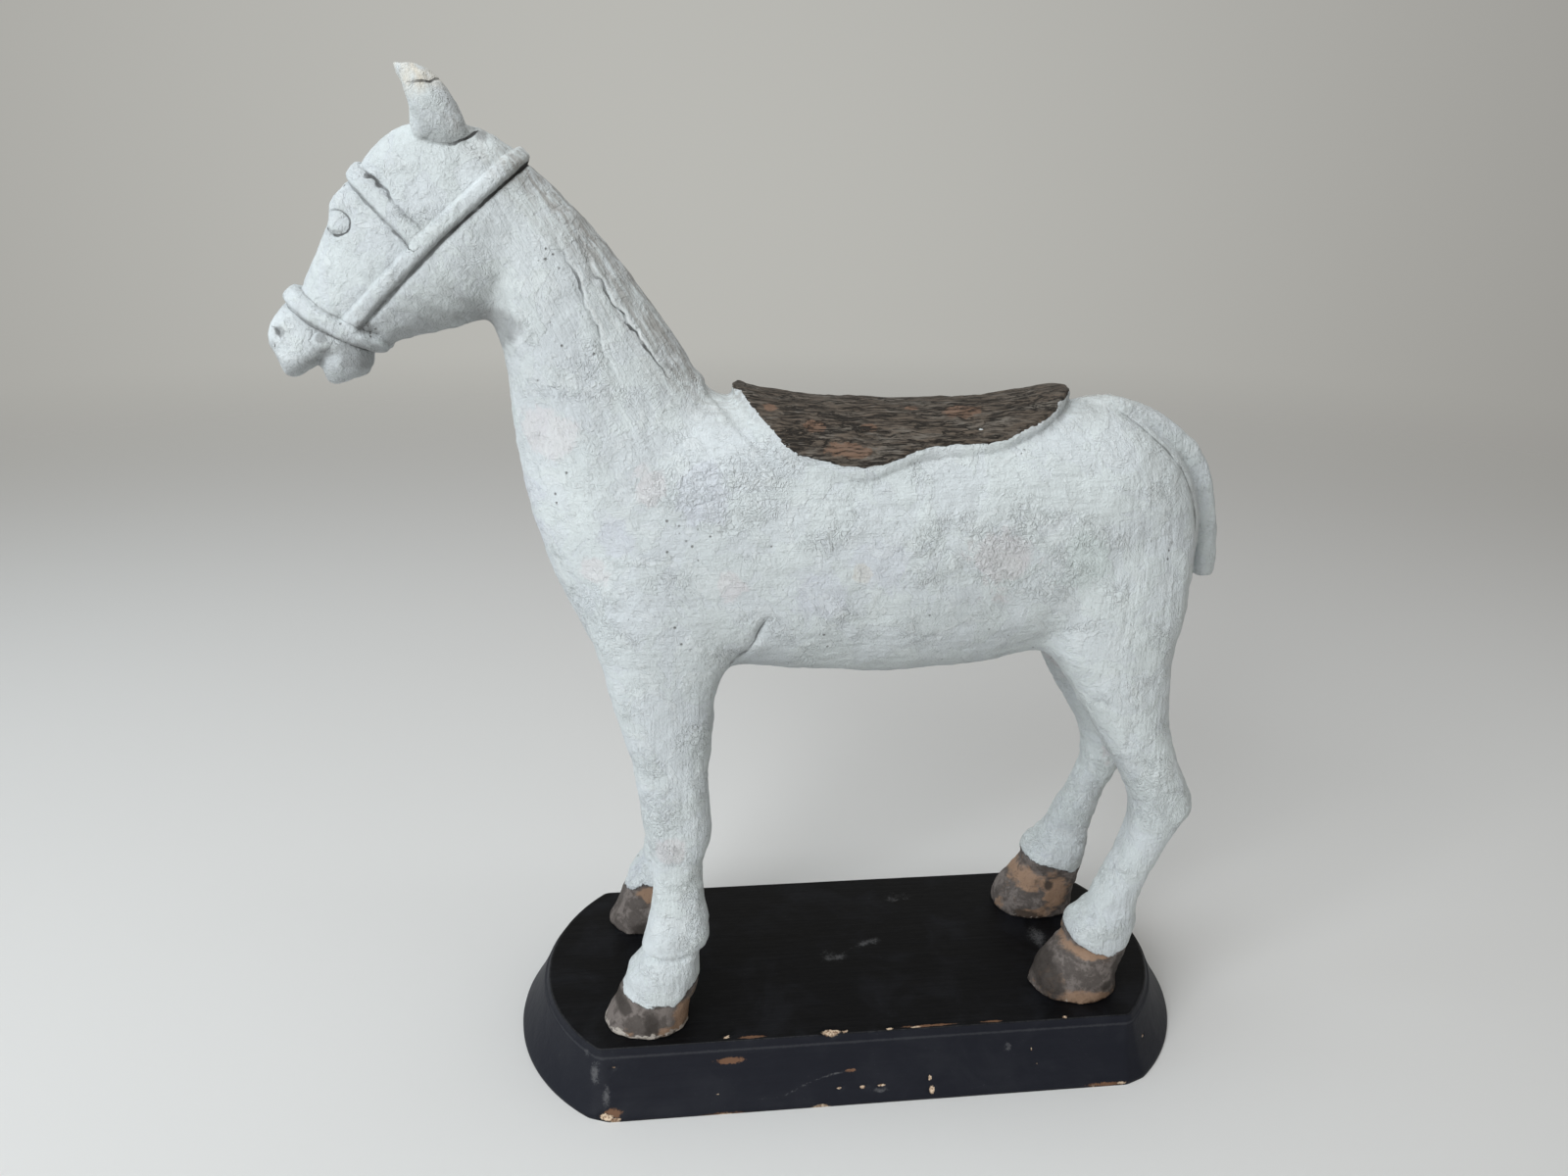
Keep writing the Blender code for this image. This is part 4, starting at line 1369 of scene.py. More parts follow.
    def ear(self, side: Side) -> bpy.types.Mesh:
        """An ear: level ovals round a middle line that leans forward with the height.

        Args:
            side: near or far.

        Returns:
            The closed form.
        """
        z, rows = smooth_rows(self.ear_rows, self.ring_step / 2)
        middle, half_x, half_y, out = (column[:, None] for column in rows.T)
        lean = self.far_ear_lean if side is Side.FAR else 0.0
        share = ((z - z[0]) / (z[-1] - z[0]))[:, None]
        c, s = squared_circle(self.ring_points, self.ear_squareness)
        x = middle + lean * share + half_x * c
        y = side.value * (out + half_y * s)
        return lofted("ear", np.stack([x, y, np.broadcast_to(z[:, None], x.shape)], 2))

    def tail(self) -> bpy.types.Mesh:
        """The tail: a flat oval carried down the rump, square to its own middle line.

        Returns:
            The closed form.
        """
        rows = np.array(self.tail_rows, float)
        run = np.concatenate([[0], np.cumsum(np.hypot(*np.diff(rows[:, :2], axis=0).T))])
        _, fine = smooth_rows(tuple(map(tuple, np.column_stack([run, rows]))), self.ring_step)
        way = np.gradient(fine[:, :2], axis=0)
        way /= np.linalg.norm(way, axis=1)[:, None]
        x, z, half_width, thickness = (column[:, None] for column in fine.T)
        c, s = squared_circle(self.ring_points, self.tail_squareness)
        rings = [x - way[:, 1:] * thickness * c, half_width * s, z + way[:, :1] * thickness * c]
        return lofted("tail", np.stack(rings, 2))

    def back_height(self, x: Array, y: Array | float, skin: float | Array) -> Array:
        """Height of the trunk's upper side, or of a skin laid over it.

        Args:
            x: places along the back.
            y: places across it.
            skin: the skin's thickness.

        Returns:
            The heights.
        """
        table = np.array(self.trunk_rows, float)
        top, half, wide = (np.interp(x, table[:, 0], table[:, k]) for k in (2, 3, 4))
        flat = np.clip(np.abs(y) / (half + skin), 0, 0.98)
        power = self.trunk_squareness
        return wide + (top + skin - wide) * (1 - flat**power) ** (1 / power)

    def seat_height(self, x: Array, y: Array, top: Array) -> Array:
        """Height of the saddle's seat: the back's curve with a skin that thins down the flaps.

        Args:
            x: places along the back.
            y: places across it.
            top: how high the middle of the seat is there.

        Returns:
            The heights.
        """
        skin = self.saddle_skin + (self.flap_skin - self.saddle_skin) * (y / self.flap_at) ** 2
        return self.back_height(x, y, skin) + top - self.back_height(x, 0.0, self.saddle_skin)

    def saddle(self) -> bpy.types.Mesh:
        """The saddle: rings across X over the seat, down the rim to the body and back inside the wood.

        Returns:
            The closed form.
        """
        x, rows = smooth_rows(self.saddle_rows, self.ring_step / 1.5)
        top, spread, rim = (column[:, None] for column in rows.T)
        x = x[:, None]
        seat_y = spread * np.linspace(-1, 1, self.ring_points // 2)
        seat_z = self.seat_height(x, seat_y, top)
        foot_y = (spread + rim) * np.array([1.0, 0.94])
        foot_z = self.back_height(x, foot_y, 0.0) - np.array([0.5, 4.0])
        inner_y = (spread + rim) * np.linspace(0.8, -0.8, 7)
        inner_z = self.back_height(x, inner_y, 0.0) - 5
        y = np.concatenate([seat_y, foot_y, inner_y, -foot_y[:, ::-1]], 1)
        z = np.concatenate([seat_z, foot_z, inner_z, foot_z[:, ::-1]], 1)
        return lofted("saddle", np.stack([np.broadcast_to(x, y.shape), y, z], 2))

    def seat_field(self, p: Array) -> Array:
        """How far inside the bare seat each point is.

        Args:
            p: points in figure millimetres.

        Returns:
            Millimetres inside (positive) or outside the seat's edge, measured to the edge in space; the wall
            below the edge counts as outside.
        """
        x, rows = smooth_rows(self.saddle_rows, self.ring_step * 1.5)
        top, spread, _ = rows.T
        edge = np.stack([x, spread, self.seat_height(x, spread, top)], 1)
        edge = np.vstack([edge[:1] * (1, 0, 1), edge, edge[-1:] * (1, 0, 1)])
        folded = p * (1, 0, 1) + np.abs(p[:, 1:2]) * (0, 1, 0)
        best = np.full(len(p), np.inf)
        for start, end in zip(edge[:-1], edge[1:]):
            way = end - start
            along = np.clip((folded - start) @ way / (way @ way), 0, 1)
            best = np.minimum(best, np.linalg.norm(folded - start - along[:, None] * way, axis=1))
        within = (p[:, 0] > x[0]) & (p[:, 0] < x[-1]) & (folded[:, 1] < np.interp(p[:, 0], x, spread) + 0.4)
        signed = np.where(within & (p[:, 2] > self.saddle_foot), best, -best)
        crown = np.interp(p[:, 0], x, top)
        below = self.seat_height(p[:, 0], folded[:, 1], crown) - p[:, 2]
        return np.minimum(signed, 2.0 - below)

    def hoof_field(self, p: Array) -> Array:
        """How far below the upper edge of the bare hoof each point is.

        Args:
            p: points in figure millimetres.

        Returns:
            Millimetres below (positive) or above it.
        """
        edges = (self.fore_coronet_out, self.fore_coronet_in, self.hind_coronet_out, self.hind_coronet_in)
        fore_out, fore_in, hind_out, hind_in = (np.interp(p[:, 0], *np.array(e, float).T) for e in edges)
        out_y = ramp(np.abs(p[:, 1]), 28, 44)
        at_fore = fore_out * out_y + fore_in * (1 - out_y)
        at_hind = hind_out * out_y + hind_in * (1 - out_y)
        return np.where(p[:, 0] < 0, at_fore, at_hind) - p[:, 2]

    def stroke_shares(self, p: Array) -> tuple[Array, Array]:
        """Which way the brush ran.

        Args:
            p: points in figure millimetres.

        Returns:
            How much it ran down the neck, and how much upright on the thighs and legs.
        """
        neck = ramp(-p[:, 0] + 0.35 * (p[:, 2] - 250), 70, 95) * ramp(p[:, 2], 225, 262)
        upright = np.maximum(ramp(p[:, 0], 82, 104), ramp(p[:, 2], 176, 150)) * (1 - neck)
        return neck, upright

    def patches(self, p: Array, places: Table) -> Array:
        """Soft round or oval patches on the near side.

        Args:
            p: points in figure millimetres.
            places: x, z and the reach of each patch, one for both axes or one for each.

        Returns:
            1 in the middle of a patch and 0 far off.
        """
        share = np.zeros(len(p))
        for x, z, *reach in places:
            offset = np.hypot((p[:, 0] - x) / reach[0], (p[:, 2] - z) / reach[-1])
            share = np.maximum(share, bell(offset, 1.0))
        return np.where(p[:, 1] < 0, share, 0.0)

    def wrinkled(self, p: Array) -> Array:
        """Where the paint lies thick and wrinkled.

        Args:
            p: points in figure millimetres.

        Returns:
            The share, from a little everywhere to 1 in the drawn patches and random ones on the far side.
        """
        drawn = self.patches(p, self.wrinkle_places) + 0.9 * Lumps(71).at(p, (14, 10, 8), 3)
        unseen = ramp(Lumps(72).at(p, 34.0, 2), 0.0, 0.5) * (p[:, 1] > 0) * ramp(p[:, 0], -120, -100)
        return np.clip(np.maximum(ramp(drawn, 0.1, 0.9), unseen), 0.25, 1)

    def head_relief(self, p: Array) -> Array:
        """The bridle's straps and the rounded forms of the head.

        Args:
            p: points in figure millimetres.

        Returns:
            How proud they stand, in millimetres: straps with a profile sqrt(1 - (distance / half)^4), and
            forms as bells round their middles.
        """
        proud = np.zeros(len(p))
        for strap in (HEADPIECE, BROWBAND, NOSEBAND):
            distance, _, _ = to_line(p[:, [0, 2]], strap.path)
            height = strap.proud * np.sqrt(np.clip(1 - (distance / strap.half) ** 4, 0, 1))
            proud = np.maximum(proud, np.where(on_head(p), height, 0))
        for x, out, z, radius, height in self.head_forms:
            offset = np.stack([p[:, 0] - x, np.abs(p[:, 1]) - out, p[:, 2] - z])
            proud += height * bell(np.linalg.norm(offset, axis=0), radius)
        return proud

    def seam_relief(self, p: Array) -> Array:
        """The grooves of the seams, and the flaked lips beside some of them, as bells round their lines.

        Args:
            p: points in figure millimetres.

        Returns:
            How proud each place stands, in millimetres.
        """
        proud = np.zeros(len(p))
        waver = hand_waver(p)
        for number, seam in enumerate(SEAMS):
            distance, side, run = seam.reach(p, waver)
            uneven = 0.75 + 0.5 * Lumps(20 + number).at(p, 5.0)
            uneven *= ramp(run, 0, 0.06) * ramp(run, 1, 0.94) if seam.lip else 1.0
            groove = seam.depth * bell(distance, seam.half)
            edge = seam.lip * (side > 0) * bell(distance - 1.8 * seam.half, 0.9 * seam.half)
            proud += uneven * (edge - groove)
        return proud

    def hand_relief(self, p: Array) -> Array:
        """Lumps left by the carver's tools and the thick paint, and ridges along the way of the brush.

        Args:
            p: points in figure millimetres.

        Returns:
            How proud each place stands, in millimetres.
        """
        flat = p[:, [0, 2]]
        along_neck = flat @ np.array([0.45, -0.89])
        across_neck = flat @ np.array([0.89, 0.45])
        neck, upright = self.stroke_shares(p)
        level = (1 - neck) * (1 - upright)
        slanting = Lumps(5).at(np.column_stack([along_neck, across_neck, p[:, 1]]), (22, 2.8, 5), 2)
        proud = 0.30 * neck * slanting
        proud += 0.16 * level * Lumps(6).at(p, (20, 3.5, 2.6), 2)
        proud += 0.18 * upright * Lumps(7).at(p, (3.0, 3.0, 22), 2)
        legs = 1 + 0.4 * ramp(p[:, 2], 170, 120) + 0.5 * ramp(p[:, 2], 62, 44)
        proud += legs * (0.50 * Lumps(8).at(p, 24.0, 2) + 0.30 * Lumps(9).at(p, 7.5, 2))
        proud += (0.16 + 0.20 * self.wrinkled(p)) * Lumps(14).at(p, 4.0, 2)
        return proud - self.flank_dip[-1] * self.patches(p, (self.flank_dip[:-1],))

    def seat_relief(self, p: Array) -> Array:
        """The bare seat's grain, the groove at the foot of the flaps, and the pommel's groove and roll.

        Args:
            p: points in figure millimetres.

        Returns:
            How proud each place stands, in millimetres.
        """
        seat = self.seat_field(p)
        proud = ramp(seat, -0.4, 0.4) * (0.22 * Lumps(10).at(p, (34, 1.5, 1.5), 2) - 0.45)
        high = p[:, 2] > self.saddle_foot
        pommel = ramp(-p[:, 0], 30, 44) * high
        proud -= 0.7 * (1 - pommel) * high * bell(seat + self.flap_groove, 0.8)
        proud -= 0.8 * pommel * bell(seat + self.pommel_groove, 1.3)
        return proud + 0.5 * pommel * bell(seat + self.pommel_roll, 1.6)

    def hoof_relief(self, p: Array) -> Array:
        """The step from the paint down to the bare hooves, and the cuffs above them.

        Args:
            p: points in figure millimetres.

        Returns:
            How proud each place stands, in millimetres.
        """
        hoof = self.hoof_field(p)
        proud = 0.12 * ramp(hoof, 0, 1) * Lumps(12).at(p, 3.0, 2)
        proud -= 0.35 * ramp(hoof + 0.8 * Lumps(11).at(p, 3.0), -0.4, 0.6)
        for x, z, cuff in self.fetlock_cuffs:
            above = p[:, 2] - z - 0.06 * (p[:, 0] - x) + 0.8 * Lumps(13).at(p, 5.0, 2)
            band = cuff * ramp(above, 0, 0.9) * ramp(above, 11, 1.5) - 0.4 * bell(above + 0.5, 0.8)
            proud += np.where(np.abs(p[:, 0] - x) < 32, band, 0)
        return proud

    def carve(self) -> Workpiece:
        """Joins the forms, rubs the joints smooth and carves the relief.

        Returns:
            The workpiece, still in figure millimetres.
        """
        piece = Workpiece("carved_horse")
        body = [self.trunk(), self.neck(), self.head("head", self.head_rows, self.face_narrowing)]
        body.append(self.head("lower_jaw", self.jaw_rows, 0.0))
        body += [self.limb(name, side) for side in Side for name in ("fore_leg", "hind_leg")]
        piece.add(body)
        piece.one_skin(self.blend_voxel)
        p = piece.points()
        lips = ramp(p[:, 0], -200, -212)
        body_share = 0.12 * (1 - lips) + 0.88 * ramp(p[:, 2], 95, 150) * ramp(p[:, 0], -168, -150)
        piece.rub(body_share, self.body_turns)
        p = piece.points()
        away = np.stack([(p[:, 0] + 78) / 46, (p[:, 2] - 232) / 46, (np.abs(p[:, 1]) - 32) / 26])
        piece.rub(np.clip(1.3 - np.linalg.norm(away, axis=0), 0, 1), self.shoulder_turns)

        crisp = [self.saddle(), self.tail()]
        ends = ("fore_pastern", "hind_pastern", "fore_hoof", "hind_hoof")
        for side in Side:
            crisp += [self.ear(side), *(self.limb(name, side) for name in ends)]
        piece.add(crisp)
        piece.one_skin(self.carve_voxel)
        p = piece.points()
        ear_root = bell(p[:, 2] - 370, 5) * (p[:, 2] > 340)
        piece.rub(0.5 + 0.5 * ear_root, self.skin_turns)
        p = piece.points()
        parts = (self.head_relief, self.seam_relief, self.hand_relief, self.seat_relief, self.hoof_relief)
        piece.move(p + piece.normals() * sum(part(p) for part in parts)[:, None])
        piece.thin_out(self.triangles)
        piece.cut_level(self.sole_gap)
        return piece

    def note_paint(self, piece: Workpiece, p: Array) -> None:
        """Stores where the white paint is brushed, painted with shade, greyed, tinted, pitted and wrinkled.

        Args:
            piece: the carved workpiece.
            p: its points, in figure millimetres.
        """
        neck, upright = self.stroke_shares(p)
        piece.note("neck_strokes", neck)
        piece.note("upright_strokes", upright)
        # Painted shade on the downward faces of the jaw and throat, and a little under the belly
        facing_down = -piece.normals()[:, 2]
        jaw = ramp(p[:, 2], 268, 290) * ramp(p[:, 0], -128, -142)
        belly = 0.25 * ramp(facing_down, 0.15, 0.85) * ramp(p[:, 2], 60, 90)
        piece.note("painted_underside_shade", np.maximum(belly, jaw * ramp(facing_down, 0.0, 0.65)))
        # Where the patches of painted shade lie
        piece.note("painted_shade_patches", self.patches(p, self.painted_shade_places))
        table = np.array(self.neck_rows, float)
        from_crest = p[:, 0] - np.interp(p[:, 2], table[:, 0], table[:, 2])
        crest = ramp(from_crest, -24, -7) * ramp(p[:, 2], 262, 284) * ramp(p[:, 2], 372, 362)
        # The back of the ear is darkened with the crest: painted shade
        ear_back = ramp(p[:, 0], -164, -158) * ramp(p[:, 2], 370, 374) * 0.7
        piece.note("crest", np.maximum(crest, ear_back))
        piece.note("calm", 0.85 * ramp(p[:, 2], 285, 310) * ramp(p[:, 0], -140, -160))
        # Where the skin curves in, for the painted shade in the hollows
        piece.note("hollow", ramp(-piece.curvature(2), 0.06, 0.22))
        piece.note("cream", ramp(p[:, 2] + 0.25 * (-165 - p[:, 0]), 384, 389) * (p[:, 0] < -150))
        for number, name in enumerate(("pink", "lilac", "yellow", "mint")):
            unseen = 0.8 * (p[:, 1] > 0) * ramp(Lumps(60 + number).at(p, 34.0), 0.3, 0.8)
            piece.note(name, np.maximum(self.patches(p, getattr(self, f"{name}_places")), unseen))
        pitted = 0.008 + 0.03 * ramp(Lumps(70).at(p, 22.0, 2), 0.25, 0.8)
        for x, z, radius, share in self.pit_places:
            pitted = np.maximum(pitted, share * bell(np.hypot(p[:, 0] - x, p[:, 2] - z), radius))
        piece.note("pitted", pitted)
        piece.note("crinkled", self.wrinkled(p))

    def note_wood(self, piece: Workpiece, p: Array) -> None:
        """Stores where the saddle and the hooves are bare, and their stains and worn rims.

        Args:
            piece: the carved workpiece.
            p: its points, in figure millimetres.
        """
        seat = self.seat_field(p)
        for x, y, z, radius in self.seat_flecks:
            seat = seat - 9 * bell(np.linalg.norm(p - (x, y, z), axis=1), radius)
        piece.note("seat", seat)
        rust = np.zeros(len(p))
        for x, y, reach_x, reach_y in self.rust_places:
            rust = np.maximum(rust, bell(np.hypot((p[:, 0] - x) / reach_x, (p[:, 1] - y) / reach_y), 1.0))
        piece.note("rust", rust)
        piece.note("hoof", self.hoof_field(p))
        piece.note("hoof_tan", self.stained(p, self.tan_stains))
        piece.note("hoof_dark", self.stained(p, self.dark_stains))
        near_fore = (p[:, 0] < 0) & (p[:, 1] <= 0)
        piece.note("hoof_rim", ramp(p[:, 2], 5.0, 0.8) * np.where(near_fore, 1.0, 0.45))

    def note_seams(self, piece: Workpiece, p: Array) -> None:
        """Stores how the nearest seam shows at each point: distance, width and darkness of its dark line,
        its lip.

        Args:
            piece: the carved workpiece.
            p: its points, in figure millimetres.
        """
        waver = hand_waver(p)
        best, signed = np.full((2, len(p)), FAR_OFF)
        width, ink, lip = np.zeros((3, len(p)))
        for number, seam in enumerate(SEAMS):
            distance, side, run = seam.reach(p, waver)
            nearer = distance < best
            best = np.where(nearer, distance, best)
            signed = np.where(nearer, distance * side, signed)
            # How wide each seam's dark line is: dirt in the cracks, painted shadow in some grooves
            uneven = seam.dirt_and_shadow * (1 + 0.6 * Lumps(40 + number).at(p, 6.0, 2))
            width = np.where(nearer, uneven * ramp(distance, 2.6, 1.4), width)
            drawn = np.interp(run, np.linspace(0, 1, len(seam.ink)), seam.ink)
            whole = ramp(Lumps(90 + number).at(p, 4.5, 2), seam.broken - 0.15, seam.broken + 0.15)
            ink = np.where(nearer, drawn * (0.25 + 0.75 * whole), ink)
            lip = np.where(nearer & (distance < 4), drawn * (seam.lip > 0), lip)
        piece.note("seam", signed)
        piece.note("seam_width", np.clip(width, 0, None))
        piece.note("seam_ink", ink)
        piece.note("seam_lip", lip)

    def stained(self, p: Array, stains: Table) -> Array:
        """Soft stains on the hooves, and weaker random ones where none is drawn.

        Args:
            p: points in figure millimetres.
            stains: x, side, z and the reach along x and z of each.

        Returns:
            1 in the middle of a stain and 0 far off.
        """
        share = 0.45 * ramp(Lumps(75 + len(stains)).at(p, 9.0, 2), 0.0, 0.6)
        for x, side, z, reach_x, reach_z in stains:
            offset = np.hypot((p[:, 0] - x) / reach_x, (p[:, 2] - z) / reach_z)
            share = np.maximum(share, np.where(p[:, 1] * side > 0, bell(offset, 1.0), 0))
        return share

    def dress(self) -> bpy.types.Material:
        """White paint, with the bare saddle and hooves where its ragged edges end.

        Returns:
            The material.
        """
        tree = ShaderTree(bpy.data.materials.new("aged_white_paint"))
        paint = AgedWhitePaint().layer(tree)
        ragged = (tree.noise(520, 4, 0.65) - 0.5) * 2.2 + (tree.noise(150, 3, 0.6) - 0.5) * 2.4
        seat = (tree.field("seat") + ragged * 0.30).rise(-0.08, 0.08)
        hoof = (tree.field("hoof") + ragged * 1.6).rise(-0.35, 0.35)
        layer = tree.over(seat, paint, WeatheredSaddle().layer(tree))
        layer = tree.over(hoof, layer, BareHoof().layer(tree))
        return tree.finish(layer, specular=0.32)

    def build(self) -> bpy.types.Object:
        """Carves, notes and dresses the horse, and stands it on the plinth.

        Returns:
            The finished object.
        """
        piece = self.carve()
        for note in (self.note_paint, self.note_wood, self.note_seams):
            note(piece, piece.points())
        unit = (self.top - self.stand) / FIGURE_DRAWN
        piece.move(piece.points() * unit + np.array([0, 0, self.stand]))
        piece.wear(self.dress())
        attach(piece.obj, "root")
        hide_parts("horse")
        return piece.obj


@dataclass
class Plinth:
    """The flared plinth: bowed ends, cut corners, a sloping wall, a fine step and a bevelled top."""

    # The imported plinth's size, in metres
    length: float
    width: float
    height: float
    end_bow: float = 0.0385
    bow_loss: float = 0.0135
    side_flare: float = 0.0158
    corner_cut: float = 0.0048
    cut_loss: float = 0.75
    top_bevel: float = 0.0032
    arris: float = 0.0012
    hollow: float = 0.06
    shoulder_share: float = 0.84
    step_share: float = 0.04
    # Fineness of the surface
    end_points: int = 110
    corner_points: int = 6
    side_points: int = 190
    wall_rings: int = 26
    bevel_rings: int = 6
    # How far in the rings of the flat faces lie: of the top from its edge, of the underside from its middle
    top_insets: tuple[float, ...] = (0.012, 0.025, 0.04, 0.06, 0.09, 0.14, 0.22, 0.34, 0.5, 0.7, 0.9)
    under_shares: tuple[float, ...] = (0.1, 0.4, 0.7, 0.9, 0.97, 0.99)
    # Chips to the pale wood: x, y, z in millimetres, then how far they reach each way
    bare_chips: Table = (
        (-64, -55.5, 25, 2.2, 1.4, 1.3),
        (-17.5, -57, 24.8, 5.6, 2.2, 2.2),
        (-11.5, -57, 24.4, 2.6, 1.6, 1.8),
        (9, -57, 25.4, 2.2, 0.8, 0.8),
        (21, -57, 25.4, 3.4, 0.8, 0.8),
        (-117, -72.8, 1.8, 4.2, 2.4, 1.7),
        (-113, -73.6, 0.6, 3.0, 2.0, 1.4),
        (-24, -74, 0.3, 5.2, 2, 1.2),
        (-66, -74, 0.0, 5, 2, 0.7),
        (-15.5, -69.8, 6.2, 1.6, 2, 0.6),
        (-5, -70.4, 6.0, 1.8, 2, 0.7),
        (3.5, -70.6, 6.2, 2.4, 2, 0.6),
        (25.5, -69.6, 7.6, 1.2, 2, 1.3),
        (26, -72, 3.4, 1.5, 2, 2.4),
        (-113.5, -63.4, 19, 1.3, 2, 0.8),
        (-69, -70, 7, 0.8, 2, 0.6),
        (73, -64, 15, 0.7, 2, 0.9),
        (75, -68, 10, 1.4, 2, 0.5),
        (90, -57, 25.4, 1.5, 0.9, 0.7),
        (128, -59, 13, 0.9, 2, 0.9),
        (100, -74, 0.5, 2.4, 2, 0.8),
        (113, -73.6, 0.8, 3.2, 2, 1.0),
    )
    # Brown wear where the paint is thin
    worn_marks: Table = (
        (-53, -56.6, 25.4, 9, 1.2, 1.2),
        (27, -56.8, 25.4, 19, 1.0, 0.9),
        (56, -56.8, 25.4, 8, 0.9, 0.8),
        (-63, -62.6, 18.6, 9, 2, 2.0),
        (106, -73.6, 0.8, 15, 2.4, 1.4),
        (-66, -73.9, 0.3, 15, 2.4, 1.1),
        (-114, -72, 3, 5, 3, 3.0),
        (-10, -66.4, 12, 4, 2, 1.0),
    )
    # Grey scuffs; those at the front left corner are partly painted sheen on its cut facet
    scuff_and_sheen_marks: Table = (
        (-8, -4, 25.5, 14, 11, 3),
        (13, 6, 25.5, 14, 6, 3),
        (31, 41, 25.5, 22, 7, 3),
        (72, -26, 25.5, 4, 4, 2),
        (-111, 23, 25.5, 9, 2.5, 2),
        (3, -71, 4.6, 10, 3, 2.4),
        (-121.5, -62, 16, 5, 7, 12),
        (-117, -68.5, 9, 3.5, 7, 13),
        (-125, -56, 22, 3, 4, 3),
        (62, -64, 17, 4, 3, 4),
        (96, 0, 25.5, 10, 20, 2),
        (60, 66, 15, 14, 3, 4),
        (-40, 70, 8, 18, 3, 3),
    )
    # A long scratch on the near wall, in front view, and half its width
    scratch: Path = ((-64, 4), (-40, 5), (-28, 9), (-19, 11), (-8, 12.5))
    scratch_half: float = 0.8

    def outline(self, share: Array) -> Array:
        """The plan at each height: straight sides, ends bowed as circle arcs, a straight cut at each corner.

        Args:
            share: a column from 0 at the underside to 1 at the top edge.

        Returns:
            (row, place round the plan, x and y).
        """
        half = self.width / 2 - self.side_flare * share
        bow = self.end_bow - self.bow_loss * share
        corner = self.length / 2 - self.end_bow
        cut = self.corner_cut * (1 - self.cut_loss * share)
        radius = (half**2 + bow**2) / (2 * bow)
        turn = np.arcsin(half / radius) * (1 - cut / half) * np.linspace(-1, 1, self.end_points)
        end_x = corner + bow - radius + radius * np.cos(turn)
        end_y = radius * np.sin(turn)
        side_end = corner - cut * 0.9
        slant = np.linspace(0, 1, self.corner_points, endpoint=False)[1:]
        low_x = side_end + (end_x[:, :1] - side_end) * slant
        low_y = -half + (end_y[:, :1] + half) * slant
        run = np.linspace(-1, 1, self.side_points)
        side_x, side_y = side_end * run, -half * np.ones_like(run)
        x = np.concatenate([side_x, low_x, end_x, low_x[:, ::-1]], 1)
        y = np.concatenate([side_y, low_y, end_y, -low_y[:, ::-1]], 1)
        plan = np.stack([np.concatenate([x, -x], 1), np.concatenate([y, -y], 1)], 2)
        return (np.roll(plan, 1, axis=1) + 2 * plan + np.roll(plan, -1, axis=1)) / 4

    def rings(self) -> Array:
        """Rings from the middle of the underside, up the wall and the bevel, to the middle of the top.

        Returns:
            (row, place round the plan, coordinate).
        """
        shoulder = self.height - self.top_bevel
        up = np.linspace(0, 1, self.wall_rings)
        wall_share = self.shoulder_share * (up + self.hollow * np.sin(np.pi * up))
        wall_z = self.arris + (shoulder - self.arris) * up
        bevel = np.linspace(0, 1, self.bevel_rings)
        step = self.shoulder_share + self.step_share
        bevel_share = step + (1 - step) * bevel
        bevel_z = shoulder + self.top_bevel * bevel
        flat_in, under_in = 1 - np.array(self.top_insets), np.array(self.under_shares)
        level = np.ones(len(flat_in))
        share = np.concatenate([np.zeros(len(under_in) + 2), wall_share[1:], bevel_share, level])
        z = np.concatenate([np.zeros(len(under_in) + 1), wall_z, bevel_z, self.height * level])
        inset = np.concatenate([under_in, np.ones(1 + len(wall_z) + len(bevel_z)), flat_in])
        plan = self.outline(share[:, None]) * inset[:, None, None]
        return np.concatenate([plan, np.broadcast_to(z[:, None, None], (*plan.shape[:2], 1))], 2)

    def mark(self, p: Array, places: Table) -> Array:
        """How near each point is to the middle of a mark.

        Args:
            p: points in millimetres.
            places: x, y, z and the reach each way of each mark.

        Returns:
            1 in the middle of a mark, 0 at its reach and falling beyond it.
        """
        share = np.full(len(p), -9.0)
        for place in places:
            offset = (p - np.array(place[:3])) / np.array(place[3:])
            share = np.maximum(share, 1 - np.linalg.norm(offset, axis=1))
        return share

    def dress(self) -> bpy.types.Material:
        """The plinth's paint."""
        tree = ShaderTree(bpy.data.materials.new("blue_black_paint"))
        return tree.finish(BlackPaint().layer(tree), specular=0.14)

    def build(self) -> bpy.types.Object:
        """Makes the plinth's surface, its dents and its chips.

        Returns:
            The finished object.
        """
        piece = Workpiece("painted_plinth")
        piece.obj.data = lofted("painted_plinth", self.rings())
        p = piece.points() * MILLI
        bare = self.mark(p, self.bare_chips)
        worn = self.mark(p, self.worn_marks)
        above = p[:, 2] > 0.3
        dents = 0.55 * ramp(bare + 0.5 * Lumps(80).at(p, 3.0, 2), 0.0, 0.35) + 0.18 * ramp(worn, -0.2, 0.5)
        waver = 0.10 * Lumps(81).at(p, 18.0, 2) + 0.05 * Lumps(82).at(p, (14, 4, 4), 2)
        moved = p + piece.normals() * (np.where(above, waver, 0) - dents * above)[:, None]
        high = self.height * MILLI
        shoulder = high - self.top_bevel * MILLI
        moved[:, 2] = np.clip(moved[:, 2], 0, high)
        distance, _, run = to_line(p[:, [0, 2]], self.scratch)
        scratched = np.where(p[:, 1] < 0, (1 - distance / self.scratch_half) * (0.5 + 0.6 * run), -9.0)
        piece.note("bare", bare)
        piece.note("worn", worn)
        # Grey scuffs and the scratch, partly painted sheen at the front left corner
        piece.note("scuff_and_sheen", np.maximum(self.mark(p, self.scuff_and_sheen_marks), scratched))
